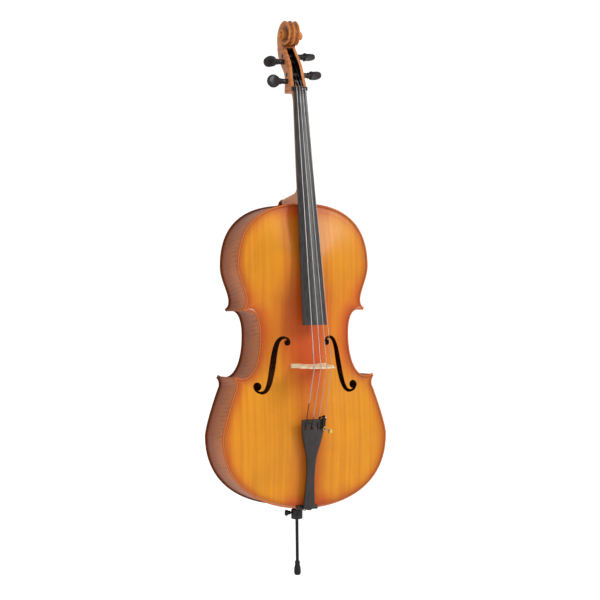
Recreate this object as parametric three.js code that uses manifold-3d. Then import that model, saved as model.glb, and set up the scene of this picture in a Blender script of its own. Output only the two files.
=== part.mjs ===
// A full-size cello, built piece by piece as a maker builds it: plates, ribs, blocks and linings, a neck with
// its pegbox and scroll, and the fittings that hold and tune the strings. Millimetres, +Z up. The front faces
// -Y, the bass side is -X, and the origin is where the endpin's tip stands on the floor.
import * as THREE from "three";
import { mergeVertices } from "three/addons/utils/BufferGeometryUtils.js";
import Module from "manifold-3d";

const wasm = await Module();
wasm.setup();

// ---- Driving dimensions ------------------------------------------------------------------------------------

const GAP = 0.35; // between faces that are glued or rest on each other

const TIP_REACH = 172; // floor to the body's lower edge, with the endpin drawn out
const BODY_LENGTH = 755;
const LOWER_BOUT = 440;
const WAIST = 238;
const UPPER_BOUT = 350;
const RIB_HEIGHT = 118;
const RIB_THICKNESS = 1.8;
const PLATE_OVERHANG = 4;
const PLATE_EDGE = 4.5;
const PLATE_MIDDLE = 5;
const EDGE_FLAT = 9; // level rim of each plate
const FRONT_ARCH = 25;
const BACK_ARCH = 24;
const BUTTON_RADIUS = 15;

const LINING_THICKNESS = 3;
const LINING_HEIGHT = 16;
const CORNER_BLOCK_DEPTH = 34;
const CORNER_BLOCK_WIDTH = 90;
const SLIVER = 400; // mm3, the offcuts a corner block leaves of a lining
const END_BLOCK_WIDTH = 118;
const END_BLOCK_THICKNESS = 28;

const STOP_LENGTH = 401; // body's upper edge to the bridge
const F_EYE_UPPER = 7.4;
const F_EYE_LOWER = 10.4;
const F_STEM = 7.8; // half the widest width of the f-hole's stem

const SOUND_POST_RADIUS = 5.5;
const SOUND_POST_ACROSS = 27;
const BASS_BAR_WIDTH = 11;
const BASS_BAR_DEPTH = 24;
const BASS_BAR_LENGTH = 580;
const BASS_BAR_ACROSS = -31;

const NECK_LENGTH = 280; // body's upper edge to the nut
const NECK_SLOPE = 0.1295; // the fingerboard's underside leans forward this much per millimetre downwards
const OVERSTAND = 20.8; // fingerboard's underside above the front plate's edge
const NECK_DEPTH_NUT = 19;
const NECK_DEPTH_HEEL = 20.5;
const HEEL_HALF = 23;
const TENON_DEPTH = 20;
const TENON_RISE = 3; // how far the tenon reaches into the heel, so that the two are one piece

const BOARD_LENGTH = 581;
const BOARD_NUT_WIDTH = 33;
const BOARD_END_WIDTH = 63;
const BOARD_EDGE = 7;
const BOARD_RADIUS = 62;

const NUT_HEIGHT = 10;
const PEGBOX_WIDTH = 42;
const PEGBOX_TOP_WIDTH = 34;
const PEGBOX_WALL = 8.5;

const SCROLL_RADIUS = 47; // eye to the back of the outer turn
const SCROLL_TURN = 0.8; // each quarter turn shrinks the spiral to this share
const SCROLL_EYE = [7, 143]; // from the nut's lower face, back and up
const SCROLL_EYE_HALF = 31;

const PEG_SHAFT = 6.9;
const PEG_FAR_END = 6;
const PEG_CLEARANCE = 0.5;
const PEG_REACH = 54; // pegbox side to the end of the head
const PEG_HEAD_HALF = 16.5;
const PEG_FLARE = 11; // the bell at the foot of the head

const BRIDGE_HEIGHT = 92.5;
const BRIDGE_FOOT_SPAN = 91;
const BRIDGE_FOOT_THICKNESS = 11;
const BRIDGE_TOP_THICKNESS = 3;
const BRIDGE_TOP_RADIUS = 68;
const BRIDGE_HEART = 6.5;

const NUT_SPREAD = 7.7; // from string to string at the nut
const BRIDGE_SPREAD = 16;
const TAIL_SPREAD = 15.2;

const TAIL_LENGTH = 225;
const TAIL_TOP = 222; // its upper end above the body's lower edge
const TAIL_TOP_FORWARD = 46; // its upper end in front of the front plate's edge
const TAIL_LOW_FORWARD = 12;
const TAIL_THICKNESS = 9;
const TAIL_HOLE_DROP = 21;
const TAIL_HOLE_RADIUS = 3.2;
const TAIL_ARCH = 56; // radius of its rounded face

const SADDLE_WIDTH = 56;
const SADDLE_HEIGHT = 6;
const SADDLE_DEPTH = 9;
const GUT_RADIUS = 1.1;

const PLUG_RADIUS = 13;
const PLUG_INSIDE = 46;
const PLUG_NECK = 11.5;
const PLUG_NECK_LENGTH = 5;
const COLLAR_RADIUS = 14.5;
const COLLAR_LENGTH = 32; // below the body's lower edge
const ROD_RADIUS = 4;
const ROD_CLEARANCE = 0.3;
const ROD_INSIDE = 345; // rod above the body's lower edge
const TIP_LENGTH = 36;
const TIP_COVER = 26; // how far the rubber reaches up the rod
const TIP_RADIUS = 8.5;
const TIP_FOOT = 5;

const CLAMP_HEIGHT = -15; // thumbscrew's axis below the body's lower edge
const CLAMP_SHANK = 3;
const CLAMP_REACH = 12; // exposed shank between collar and wing when tight
const WING_LENGTH = 15;

const TUNER_TILT = 0.2; // the tuner leans outwards with the tailpiece's arch
const TUNER_LEAN = 0.2; // and forwards with its slope
const TUNER_SCREW = 1.6;

// ---- Small tools -------------------------------------------------------------------------------------------

const v2 = (x, z) => new THREE.Vector2(x, z);
const v3 = (x, y, z) => new THREE.Vector3(x, y, z);
const mix = THREE.MathUtils.lerp;
const smooth = (x, low, high) => THREE.MathUtils.smoothstep(x, low, high);
const steps = (count) => Array.from({ length: count + 1 }, (_, i) => i / count);

function signedVolume(positions, faces) {
  const corner = (i) => new THREE.Vector3().fromArray(positions, 3 * i);
  return faces.reduce((sum, [a, b, c]) => sum + corner(a).dot(corner(b).cross(corner(c))), 0);
}

// A closed geometry as a manifold solid that faces outwards.
function solidOf(geometry) {
  const bare = geometry.index ? geometry.toNonIndexed() : geometry.clone();
  bare.deleteAttribute("normal");
  bare.deleteAttribute("uv");
  const merged = mergeVertices(bare, 1e-4);
  const positions = merged.attributes.position.array;
  const index = merged.index.array;
  let faces = [];
  for (let i = 0; i < index.length; i += 3) {
    const face = [index[i], index[i + 1], index[i + 2]];
    if (new Set(face).size === 3) faces.push(face);
  }
  if (signedVolume(positions, faces) < 0) faces = faces.map(([a, b, c]) => [a, c, b]);
  const triVerts = new Uint32Array(faces.flat());
  return new wasm.Manifold(new wasm.Mesh({ numProp: 3, vertProperties: positions, triVerts }));
}

function geometryOf(solid) {
  const mesh = solid.getMesh();
  const geometry = new THREE.BufferGeometry();
  geometry.setAttribute("position", new THREE.BufferAttribute(mesh.vertProperties.slice(), 3));
  geometry.setIndex(new THREE.BufferAttribute(mesh.triVerts.slice(), 1));
  geometry.computeVertexNormals();
  return geometry;
}

// A ring's points seen flat, along whichever axis it reaches least.
function flatRing(ring) {
  const size = new THREE.Box3().setFromPoints(ring).getSize(v3(0, 0, 0));
  if (size.x <= Math.min(size.y, size.z)) return ring.map((p) => v2(p.y, p.z));
  return size.y <= size.z ? ring.map((p) => v2(p.z, p.x)) : ring.map((p) => v2(p.x, p.y));
}

// Rings of equal length joined into a skin, with its two ends closed.
function loft(rings) {
  const count = rings[0].length;
  const faces = [];
  for (let r = 0; r + 1 < rings.length; r++) {
    for (let i = 0; i < count; i++) {
      const a = r * count + i;
      const b = r * count + ((i + 1) % count);
      faces.push(a, b, b + count, a, b + count, a + count);
    }
  }
  const cap = (ring, start, sign) => {
    const flat = flatRing(ring);
    const turn = Math.sign(THREE.ShapeUtils.area(flat)) * sign;
    for (const [a, b, c] of THREE.ShapeUtils.triangulateShape(flat, [])) {
      const area = flat[b].clone().sub(flat[a]).cross(flat[c].clone().sub(flat[a]));
      faces.push(...(area * turn > 0 ? [a, b, c] : [a, c, b]).map((i) => start + i));
    }
  };
  cap(rings[0], 0, -1);
  cap(rings.at(-1), (rings.length - 1) * count, 1);
  const geometry = new THREE.BufferGeometry().setFromPoints(rings.flat());
  geometry.setIndex(faces);
  return solidOf(geometry);
}

// A flat outline of [x, z] points, made solid between two depths.
function prismY(points, yLow, yHigh) {
  const shape = new THREE.Shape(points);
  const geometry = new THREE.ExtrudeGeometry(shape, { depth: yHigh - yLow, bevelEnabled: false });
  return solidOf(geometry.rotateX(Math.PI / 2).translate(0, yHigh, 0));
}

// A side profile of [y, z] points, made solid between two widths.
function prismX(points, xLow, xHigh) {
  const shape = new THREE.Shape(points);
  const geometry = new THREE.ExtrudeGeometry(shape, { depth: xHigh - xLow, bevelEnabled: false });
  const basis = new THREE.Matrix4().makeBasis(v3(0, 1, 0), v3(0, 0, 1), v3(1, 0, 0));
  return solidOf(geometry.applyMatrix4(basis).translate(xLow, 0, 0));
}

// A profile of [radius, height] points turned about the Z axis.
function turned(profile, segments = 20) {
  const points = profile.map(([radius, height]) => v2(radius, height));
  return solidOf(new THREE.LatheGeometry(points, segments).rotateX(Math.PI / 2));
}

function block(x0, x1, y0, y1, z0, z1) {
  const geometry = new THREE.BoxGeometry(x1 - x0, y1 - y0, z1 - z0);
  return solidOf(geometry.translate((x0 + x1) / 2, (y0 + y1) / 2, (z0 + z1) / 2));
}

function rodBetween(from, to, radius, segments = 16, farRadius = radius) {
  const along = to.clone().sub(from);
  const geometry = new THREE.CylinderGeometry(farRadius, radius, along.length(), segments);
  geometry.translate(0, along.length() / 2, 0);
  const turn = new THREE.Quaternion().setFromUnitVectors(v3(0, 1, 0), along.normalize());
  return solidOf(geometry.applyQuaternion(turn).translate(from.x, from.y, from.z));
}

// A path through chosen points, so that an extrusion steps from one point to the next.
class PointPath extends THREE.Curve {
  constructor(points) {
    super();
    this.points = points;
  }
  getPointAt(share) {
    const last = this.points.length - 1;
    const place = Math.min(share * last, last - 1e-9);
    const i = Math.floor(place);
    return this.points[i].clone().lerp(this.points[i + 1], place - i);
  }
  getTangentAt(share) {
    const i = Math.round(share * (this.points.length - 1));
    const before = this.points[Math.max(i - 1, 0)];
    const after = this.points[Math.min(i + 1, this.points.length - 1)];
    return after.clone().sub(before).normalize();
  }
}

function wire(points, radius, sides = 6) {
  const section = new THREE.Shape(
    steps(sides).slice(1).map((share) => {
      const angle = share * 2 * Math.PI;
      return v2(radius * Math.cos(angle), radius * Math.sin(angle));
    }),
  );
  const options = { steps: points.length - 1, extrudePath: new PointPath(points), bevelEnabled: false };
  return solidOf(new THREE.ExtrudeGeometry(section, options));
}

// ---- The instrument as a scene graph -----------------------------------------------------------------------

const cello = new THREE.Group();
const instrument = new THREE.Group(); // its zero height is the body's lower edge
instrument.position.z = TIP_REACH;
cello.add(instrument);

const finish = (color, roughness, metalness = 0) => ({ color, roughness, metalness });
const SPRUCE = finish(0xd27a2c, 0.35);
const MAPLE = finish(0xa9572a, 0.35);
const BARE_WOOD = finish(0xd9b27a, 0.7);
const EBONY = finish(0x17151a, 0.4);
const PALE_MAPLE = finish(0xe9c590, 0.55);
const STEEL = finish(0xb9bcc0, 0.3, 0.9);
const BLACK_METAL = finish(0x1a1a1c, 0.35, 0.4);
const RUBBER = finish(0x0c0c0c, 0.8);
const GOLD = finish(0xe0b24a, 0.25, 1);

function add(name, solid, look, parent = instrument) {
  const mesh = new THREE.Mesh(geometryOf(solid), new THREE.MeshStandardMaterial(look));
  mesh.name = name;
  parent.add(mesh);
  return mesh;
}

// ---- Outline of the body -----------------------------------------------------------------------------------

const up = (share) => BODY_LENGTH * share;
const lowerHalf = LOWER_BOUT / 2;
const waistHalf = WAIST / 2;
const upperHalf = UPPER_BOUT / 2;
const RUN_STEPS = 7; // points along each bezier of the outline

// One smooth run of the outline through cubic beziers, as points with their inward normals.
function outlineRun(knots) {
  const run = [];
  for (let i = 0; i + 3 < knots.length; i += 3) {
    const curve = new THREE.CubicBezierCurve(...knots.slice(i, i + 4).map(([x, z]) => v2(x, z)));
    for (const share of steps(RUN_STEPS).slice(i ? 1 : 0)) {
      const along = curve.getTangent(share);
      run.push({ point: curve.getPoint(share), inward: v2(-along.y, along.x) });
    }
  }
  return run;
}

const LOWER_RUN = outlineRun([
  [0, 0],
  [0.47 * lowerHalf, 0],
  [lowerHalf, up(0.062)],
  [lowerHalf, up(0.236)],
  [lowerHalf, up(0.268)],
  [0.864 * lowerHalf, up(0.378)],
  [0.828 * lowerHalf, up(0.4)],
  [0.82 * lowerHalf, up(0.41)],
  [0.83 * lowerHalf, up(0.423)],
  [0.855 * lowerHalf, up(0.429)],
]);
const WAIST_RUN = outlineRun([
  [0.834 * lowerHalf, up(0.439)],
  [0.682 * lowerHalf, up(0.41)],
  [waistHalf, up(0.463)],
  [waistHalf, up(0.5695)],
  [waistHalf, up(0.633)],
  [0.766 * upperHalf, up(0.659)],
  [0.91 * upperHalf, up(0.647)],
]);
const UPPER_RUN = outlineRun([
  [0.938 * upperHalf, up(0.655)],
  [0.9 * upperHalf, up(0.66)],
  [0.878 * upperHalf, up(0.666)],
  [0.876 * upperHalf, up(0.68)],
  [0.874 * upperHalf, up(0.712)],
  [upperHalf, up(0.752)],
  [upperHalf, up(0.796)],
  [upperHalf, up(0.944)],
  [0.59 * upperHalf, BODY_LENGTH],
  [0, BODY_LENGTH],
]);

const inset = (run, distance) => run.map(({ point, inward }) => point.clone().addScaledVector(inward, distance));

function crossing(a, b, c, d) {
  const ab = b.clone().sub(a);
  const cd = d.clone().sub(c);
  const turn = ab.cross(cd);
  const ac = c.clone().sub(a);
  const s = ac.cross(cd) / turn;
  const t = ac.cross(ab) / turn;
  return s >= 0 && s <= 1 && t >= 0 && t <= 1 ? a.clone().addScaledVector(ab, s) : null;
}

// Two runs joined where they cross. Runs that stay apart keep the cut end of the corner between them.
function joinRuns(first, second) {
  for (let i = first.length - 2; i >= 0; i--) {
    for (let j = 0; j + 1 < second.length; j++) {
      const corner = crossing(first[i], first[i + 1], second[j], second[j + 1]);
      if (corner) return { points: [...first.slice(0, i + 1), corner, ...second.slice(j + 1)], corner };
    }
  }
  const corner = first.at(-1).clone().lerp(second[0], 0.5);
  return { points: [...first, ...second], corner };
}

function halfOutline(distance) {
  const low = joinRuns(inset(LOWER_RUN, distance), inset(WAIST_RUN, distance));
  const all = joinRuns(low.points, inset(UPPER_RUN, distance));
  return { points: all.points, corners: { lower: low.corner, upper: all.corner } };
}

function outline(distance) {
  const right = halfOutline(distance).points;
  const left = right.slice(1, -1).map((p) => v2(-p.x, p.y));
  return [...right, ...left.reverse()];
}

// ---- Arching -----------------------------------------------------------------------------------------------

const EDGE = outline(0);

function edgeDistance(x, z) {
  const at = v2(x, z);
  let nearest = Infinity;
  let inside = false;
  EDGE.forEach((a, i) => {
    const b = EDGE[(i + 1) % EDGE.length];
    const ab = b.clone().sub(a);
    const share = THREE.MathUtils.clamp(at.clone().sub(a).dot(ab) / ab.lengthSq(), 0, 1);
    nearest = Math.min(nearest, a.clone().addScaledVector(ab, share).distanceTo(at));
    if (a.y > z !== b.y > z && x < a.x + ((z - a.y) / (b.y - a.y)) * (b.x - a.x)) inside = !inside;
  });
  return inside ? nearest : 0;
}

function localHalfWidth(z) {
  const lower = mix(lowerHalf, waistHalf, smooth(z, up(0.236), up(0.5695)));
  return mix(lower, upperHalf, smooth(z, up(0.5695), up(0.811)));
}

// Rise of a plate above its rim, as a share of its full arch: level at the rim, hollow, then round.
function archShare(x, z) {
  const span = localHalfWidth(z) - EDGE_FLAT;
  const share = THREE.MathUtils.clamp((edgeDistance(x, z) - EDGE_FLAT) / span, 0, 1);
  return 0.5 - 0.5 * Math.cos(Math.PI * Math.pow(share, 0.85));
}

const ACROSS = steps(16).map((share) => mix(-lowerHalf - 3, lowerHalf + 3, share));
const ALONG = steps(22).map((share) => mix(-3, BODY_LENGTH + BUTTON_RADIUS + 6, share));
const ARCH_GRID = ALONG.map((z) => ACROSS.map((x) => archShare(x, z)));
const ribHalf = RIB_HEIGHT / 2;
const frontEdge = -ribHalf - PLATE_EDGE; // outer face of the front plate's rim
const THINNING = PLATE_MIDDLE - PLATE_EDGE;

const frontOuter = (rise) => frontEdge - FRONT_ARCH * rise;
const frontInner = (rise) => -ribHalf - Math.max(0, FRONT_ARCH * rise - THINNING);
const backOuter = (rise) => ribHalf + PLATE_EDGE + BACK_ARCH * rise;
const backInner = (rise) => ribHalf + Math.max(0, BACK_ARCH * rise - THINNING);

// The solid between two surfaces that follow the arching. All such solids share one grid, so that a piece
// fitted under a plate follows that plate face by face.
function archedSlab(surfaceA, surfaceB) {
  const columns = ACROSS.length;
  const rows = ALONG.length;
  const layer = (surface) => ALONG.flatMap((z, j) => ACROSS.map((x, i) => v3(x, surface(ARCH_GRID[j][i]), z)));
  const points = [...layer(surfaceA), ...layer(surfaceB)];
  const far = columns * rows;
  const faces = [];
  for (let j = 0; j + 1 < rows; j++) {
    for (let i = 0; i + 1 < columns; i++) {
      const a = j * columns + i;
      const [b, c, d] = [a + 1, a + columns + 1, a + columns];
      faces.push(a, b, c, a, c, d, far + a, far + c, far + b, far + a, far + d, far + c);
    }
  }
  const rim = [];
  for (let i = 0; i < columns; i++) rim.push(i);
  for (let j = 1; j < rows; j++) rim.push(j * columns + columns - 1);
  for (let i = columns - 2; i >= 0; i--) rim.push((rows - 1) * columns + i);
  for (let j = rows - 2; j > 0; j--) rim.push(j * columns);
  rim.forEach((a, i) => {
    const b = rim[(i + 1) % rim.length];
    faces.push(a, far + b, b, a, far + a, far + b);
  });
  const geometry = new THREE.BufferGeometry().setFromPoints(points);
  geometry.setIndex(faces);
  return solidOf(geometry);
}

const underFront = archedSlab((rise) => frontInner(rise) + GAP, () => 0);
const underBack = archedSlab(() => 0, (rise) => backInner(rise) - GAP);
const frontAndBehind = archedSlab((rise) => frontOuter(rise) - GAP, () => 0);

// ---- Levels that the neck, strings and fittings share ------------------------------------------------------

const nutLevel = BODY_LENGTH + NECK_LENGTH; // the nut's lower face
const boardUnder = (z) => frontEdge - OVERSTAND - NECK_SLOPE * (BODY_LENGTH - z);
const boardHalf = (z) => mix(BOARD_END_WIDTH, BOARD_NUT_WIDTH, (z - nutLevel + BOARD_LENGTH) / BOARD_LENGTH) / 2;
const sag = (radius, x) => radius - Math.sqrt(radius * radius - x * x);
const boardTop = (x, z) => boardUnder(z) - BOARD_EDGE - sag(BOARD_RADIUS, boardHalf(z)) + sag(BOARD_RADIUS, x);
const bridgeLevel = BODY_LENGTH - STOP_LENGTH;
const bridgeCrown = frontOuter(archShare(0, bridgeLevel)) - BRIDGE_HEIGHT;
const A_SIDE_DROP = 0.14; // the bridge's top leans towards the A string
const bridgeTop = (x) => bridgeCrown + sag(BRIDGE_TOP_RADIUS, x) + A_SIDE_DROP * Math.max(0, x);

// ---- Ribs, blocks and linings ------------------------------------------------------------------------------

const ribOuter = PLATE_OVERHANG;
const ribInner = PLATE_OVERHANG + RIB_THICKNESS;
const insideRibs = prismY(outline(ribInner + GAP), -ribHalf + GAP, ribHalf - GAP);
const ribTop = BODY_LENGTH - ribOuter;

function tenon(clearance) {
  const wide = HEEL_HALF * 0.82 + clearance;
  const narrow = BUTTON_RADIUS * 0.72 + clearance;
  const low = ribTop - TENON_DEPTH - clearance;
  const front = boardUnder(ribTop) - 10;
  const points = [v3(-wide, front, 0), v3(wide, front, 0), v3(narrow, ribHalf - GAP, 0), v3(-narrow, ribHalf - GAP, 0)];
  return loft([low, BODY_LENGTH + TENON_RISE + 1].map((z) => points.map((p) => p.clone().setZ(z))));
}
const mortise = tenon(GAP);
const plugHole = rodBetween(v3(0, 0, -10), v3(0, 0, 60), PLUG_RADIUS + GAP, 24);

// A box set along a corner's mitre, from its tip inwards.
function mitreBox(side, which, depth, width) {
  const tip = halfOutline(ribOuter).corners[which];
  const inner = halfOutline(ribOuter + 25).corners[which];
  const along = inner.clone().sub(tip).normalize();
  const across = v2(-along.y, along.x).multiplyScalar(width / 2);
  const start = tip.clone().addScaledVector(along, -20);
  const end = tip.clone().addScaledVector(along, depth);
  const points = [
    start.clone().sub(across),
    end.clone().sub(across),
    end.clone().add(across),
    start.clone().add(across),
  ].map((p) => v2(side * p.x, p.y));
  return prismY(side > 0 ? points : points.reverse(), -ribHalf - 1, ribHalf + 1);
}

const SIDES = [
  ["bass", -1],
  ["treble", 1],
];
const CORNERS = ["lower", "upper"];

function cutAtCorners(solid, depth, width) {
  for (const [, side] of SIDES) {
    for (const which of CORNERS) solid = solid.subtract(mitreBox(side, which, depth, width));
  }
  return solid;
}

// Names the six lengths that a ring falls into when it is cut at its corners and ends.
function addLengths(ring, suffix, look) {
  for (const piece of ring.decompose().filter((one) => one.volume() > SLIVER)) {
    const { min, max } = piece.boundingBox();
    const side = min[0] + max[0] < 0 ? "bass" : "treble";
    const height = (min[2] + max[2]) / 2;
    const part = height < up(0.4) ? "lower" : height > up(0.7) ? "upper" : "waist";
    add(`${part}_${suffix}_${side}`, piece, look);
  }
}

const ribRing = prismY(outline(ribOuter), -ribHalf + GAP, ribHalf - GAP)
  .subtract(prismY(outline(ribInner), -ribHalf, ribHalf))
  .subtract(mortise)
  .subtract(plugHole)
  .subtract(block(-GAP / 2, GAP / 2, -ribHalf, ribHalf, -5, 20));
addLengths(cutAtCorners(ribRing, 40, GAP), "rib", MAPLE);

const END_BLOCKS = {
  top_block: block(
    -END_BLOCK_WIDTH / 2, END_BLOCK_WIDTH / 2, -ribHalf, ribHalf,
    BODY_LENGTH - ribInner - END_BLOCK_THICKNESS, BODY_LENGTH,
  ),
  bottom_block: block(
    -END_BLOCK_WIDTH / 2, END_BLOCK_WIDTH / 2, -ribHalf, ribHalf,
    0, ribInner + END_BLOCK_THICKNESS,
  ),
};
for (const [name, box] of Object.entries(END_BLOCKS)) {
  add(name, insideRibs.intersect(box).subtract(mortise).subtract(plugHole), BARE_WOOD);
}
for (const [label, side] of SIDES) {
  for (const which of CORNERS) {
    const box = mitreBox(side, which, CORNER_BLOCK_DEPTH, CORNER_BLOCK_WIDTH);
    add(`${which}_corner_block_${label}`, insideRibs.intersect(box), BARE_WOOD);
  }
}

const endSpace = block(
  -END_BLOCK_WIDTH / 2 - GAP, END_BLOCK_WIDTH / 2 + GAP, -ribHalf, ribHalf,
  -5, ribInner + END_BLOCK_THICKNESS + GAP,
).add(block(
  -END_BLOCK_WIDTH / 2 - GAP, END_BLOCK_WIDTH / 2 + GAP, -ribHalf, ribHalf,
  BODY_LENGTH - ribInner - END_BLOCK_THICKNESS - GAP, BODY_LENGTH + 5,
));
for (const [face, from, to] of [
  ["front_lining", -ribHalf + GAP, -ribHalf + LINING_HEIGHT],
  ["back_lining", ribHalf - LINING_HEIGHT, ribHalf - GAP],
]) {
  const ring = prismY(outline(ribInner + GAP), from, to)
    .subtract(prismY(outline(ribInner + GAP + LINING_THICKNESS), from - 1, to + 1))
    .subtract(endSpace);
  addLengths(cutAtCorners(ring, CORNER_BLOCK_DEPTH + GAP, CORNER_BLOCK_WIDTH), face, BARE_WOOD);
}

// ---- Front plate, with its f-holes -------------------------------------------------------------------------

// Middle line of the treble f-hole's stem, as beziers of [across, above the bridge line].
const F_LINE = [
  [47.8, 58], [48, 66], [54, 69.5], [62, 69.5],
  [80, 69.5], [83.5, 31], [89, 0],
  [94.5, -31], [100, -65], [117.5, -65],
  [127, -65], [136.5, -59], [136.5, -49],
];
const F_HALF_WIDTHS = [1.7, 2.8, F_STEM, 3, 1.7]; // at each bezier's ends
const F_UPPER_EYE = [53, 57];
const F_LOWER_EYE = [128.5, -49.5];

function fHole(side) {
  const left = [];
  const right = [];
  for (let i = 0; i + 3 < F_LINE.length; i += 3) {
    const curve = new THREE.CubicBezierCurve(...F_LINE.slice(i, i + 4).map(([x, z]) => v2(x, z)));
    for (const share of steps(6).slice(i ? 1 : 0)) {
      const [first, last] = F_HALF_WIDTHS.slice(i / 3, i / 3 + 2);
      const half = mix(first, last, last > first ? Math.sqrt(share) : 1 - Math.sqrt(1 - share));
      const along = curve.getTangent(share);
      const normal = v2(-along.y, along.x).multiplyScalar(half);
      left.push(curve.getPoint(share).add(normal));
      right.push(curve.getPoint(share).sub(normal));
    }
  }
  const place = (p) => v2(side * p.x, bridgeLevel + p.y);
  const [yLow, yHigh] = [frontEdge - FRONT_ARCH - 5, -ribHalf + 5];
  const eye = ([x, z], radius) =>
    rodBetween(v3(side * x, yLow, bridgeLevel + z), v3(side * x, yHigh, bridgeLevel + z), radius, 16);
  return prismY([...left, ...right.reverse()].map(place), yLow, yHigh)
    .add(eye(F_UPPER_EYE, F_EYE_UPPER))
    .add(eye(F_LOWER_EYE, F_EYE_LOWER));
}

const saddleSpace = block(
  -SADDLE_WIDTH / 2 - GAP, SADDLE_WIDTH / 2 + GAP, frontEdge - 20, -ribHalf + 1, -10, SADDLE_DEPTH + GAP,
);
const plateDepth = FRONT_ARCH + PLATE_EDGE + 2;
const frontPlate = archedSlab(frontOuter, frontInner)
  .intersect(prismY(EDGE, -ribHalf - plateDepth, -ribHalf))
  .subtract(fHole(1))
  .subtract(fHole(-1))
  .subtract(saddleSpace)
  .subtract(mortise);
add("front_plate", frontPlate, SPRUCE);

// ---- Back plate, with the button that the heel is glued to -------------------------------------------------

const button = rodBetween(
  v3(0, ribHalf, BODY_LENGTH + 1), v3(0, ribHalf + PLATE_EDGE, BODY_LENGTH + 1), BUTTON_RADIUS, 24,
);
const backPlate = archedSlab(backInner, backOuter)
  .intersect(prismY(EDGE, ribHalf, ribHalf + plateDepth).add(button));
add("back_plate", backPlate, MAPLE);

// ---- Bass bar and sound post -------------------------------------------------------------------------------

function bassBar() {
  const middle = bridgeLevel + 25;
  const [low, high] = [middle - BASS_BAR_LENGTH / 2, middle + BASS_BAR_LENGTH / 2];
  const half = BASS_BAR_WIDTH / 2;
  const belly = steps(12).map((share) => {
    const z = mix(low, high, share);
    const depth = BASS_BAR_DEPTH * Math.sin(Math.PI * mix(0.08, 0.92, share));
    return v2(frontInner(archShare(BASS_BAR_ACROSS, z)) + depth, z);
  });
  const front = frontEdge - FRONT_ARCH;
  const profile = [v2(front, low), ...belly, v2(front, high)];
  return prismX(profile, BASS_BAR_ACROSS - half, BASS_BAR_ACROSS + half).intersect(underFront);
}
add("bass_bar", bassBar(), BARE_WOOD);

const postLevel = bridgeLevel - 14;
const post = rodBetween(
  v3(SOUND_POST_ACROSS, frontEdge - FRONT_ARCH, postLevel),
  v3(SOUND_POST_ACROSS, -frontEdge + BACK_ARCH, postLevel),
  SOUND_POST_RADIUS,
).intersect(underFront.add(underBack));
add("sound_post", post, BARE_WOOD);

// ---- Neck, pegbox and scroll, carved from one piece --------------------------------------------------------

// A D-shaped section: flat in front, rounded behind. Power 2 is an ellipse, and more is boxier.
function neckSection(z, back, halfFront, halfBack, power) {
  const front = boardUnder(z) + GAP;
  const ring = [v3(-halfFront, front, z), v3(0, front, z)];
  for (const share of steps(12)) {
    const angle = share * Math.PI;
    const depth = Math.pow(Math.sin(angle), 2 / power);
    const width = Math.sign(Math.cos(angle)) * Math.pow(Math.abs(Math.cos(angle)), 2 / power);
    ring.push(v3(width * mix(halfFront, halfBack, depth), mix(front, back, depth), z));
  }
  ring.splice(ring.length - 1, 1); // the last point repeats the first
  return ring;
}

const CHIN_LEVEL = nutLevel - 4;
const neckBack = (z) => {
  const share = (z - BODY_LENGTH) / NECK_LENGTH;
  return boardUnder(z) + mix(NECK_DEPTH_HEEL, NECK_DEPTH_NUT, share) + 6;
};
// Height above the body's edge, how far back the heel reaches, half widths in front and behind, and power.
const HEEL = [
  [-ribOuter + GAP, ribHalf - GAP, HEEL_HALF, BUTTON_RADIUS * 0.93, 4],
  [7, ribHalf - GAP, HEEL_HALF, BUTTON_RADIUS * 0.93, 4],
  [13, ribHalf - 9, HEEL_HALF, 14, 3.6],
  [17, 26, HEEL_HALF, 16, 3.2],
  [21, -8, HEEL_HALF, 17, 3],
  [25, -42, HEEL_HALF, 18, 2.7],
];
const neckRings = HEEL.map(([above, back, front, behind, power]) =>
  neckSection(BODY_LENGTH + above, back, front, behind, power),
);
for (const above of [33, 48, 100, 160, 220, CHIN_LEVEL + 3 - BODY_LENGTH]) {
  const z = BODY_LENGTH + above;
  const half = Math.min(boardHalf(z), HEEL_HALF);
  const bulge = 3 * (1 - smooth(above, 33, 48));
  neckRings.push(neckSection(z, neckBack(z) + bulge, half, half * 0.9, 2.2));
}

const nutFrontLow = boardUnder(nutLevel) + 2;
// Side profile of the pegbox from the nut's lower face: how far back, how far up.
const CHEEK_FRONT = [
  [nutFrontLow, -4], [nutFrontLow, NUT_HEIGHT], [-36, 35], [-28, 60], [-17, 78], [3, 102], [16, 117],
];
const CHEEK_BACK = [
  [50, 143], [53, 123], [49, 100], [29.5, 72], [7, 50], [-3, 30], [-2, 10], [0, 0], [-7, -5.5], [-22, -5],
];
const lift = ([y, z]) => v2(y, nutLevel + z);
const rounded = (points, count) => new THREE.SplineCurve(points.map(lift)).getPoints(count);
const scrollEye = lift(SCROLL_EYE);

// A spiral outline about the eye, from one turn angle to a full turn further in.
function spiral(start) {
  return steps(20).slice(0, 20).map((share) => {
    const angle = start + share * 2 * Math.PI;
    const radius = SCROLL_RADIUS * Math.pow(SCROLL_TURN, angle / (Math.PI / 2));
    return v2(scrollEye.x + radius * Math.cos(angle), scrollEye.y + radius * Math.sin(angle));
  });
}

const narrowing = (z) => mix(1, PEGBOX_TOP_WIDTH / PEGBOX_WIDTH, smooth(z, nutLevel, nutLevel + 110));
const taper = (solid) => solid.warp((point) => (point[0] *= narrowing(point[2])));

function cavity() {
  const half = PEGBOX_WIDTH / 2 - PEGBOX_WALL;
  const front = [[-70, NUT_HEIGHT + 4], [-60, 40], [-40, 80], [-8, 112]];
  const behind = [[24, 108], [37, 100], [21, 76], [0, 53], [-8.5, 30], [-9, NUT_HEIGHT + 4]];
  return prismX([...front, ...behind].map(lift), -half, half);
}

// ---- Pegs --------------------------------------------------------------------------------------------------

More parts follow.
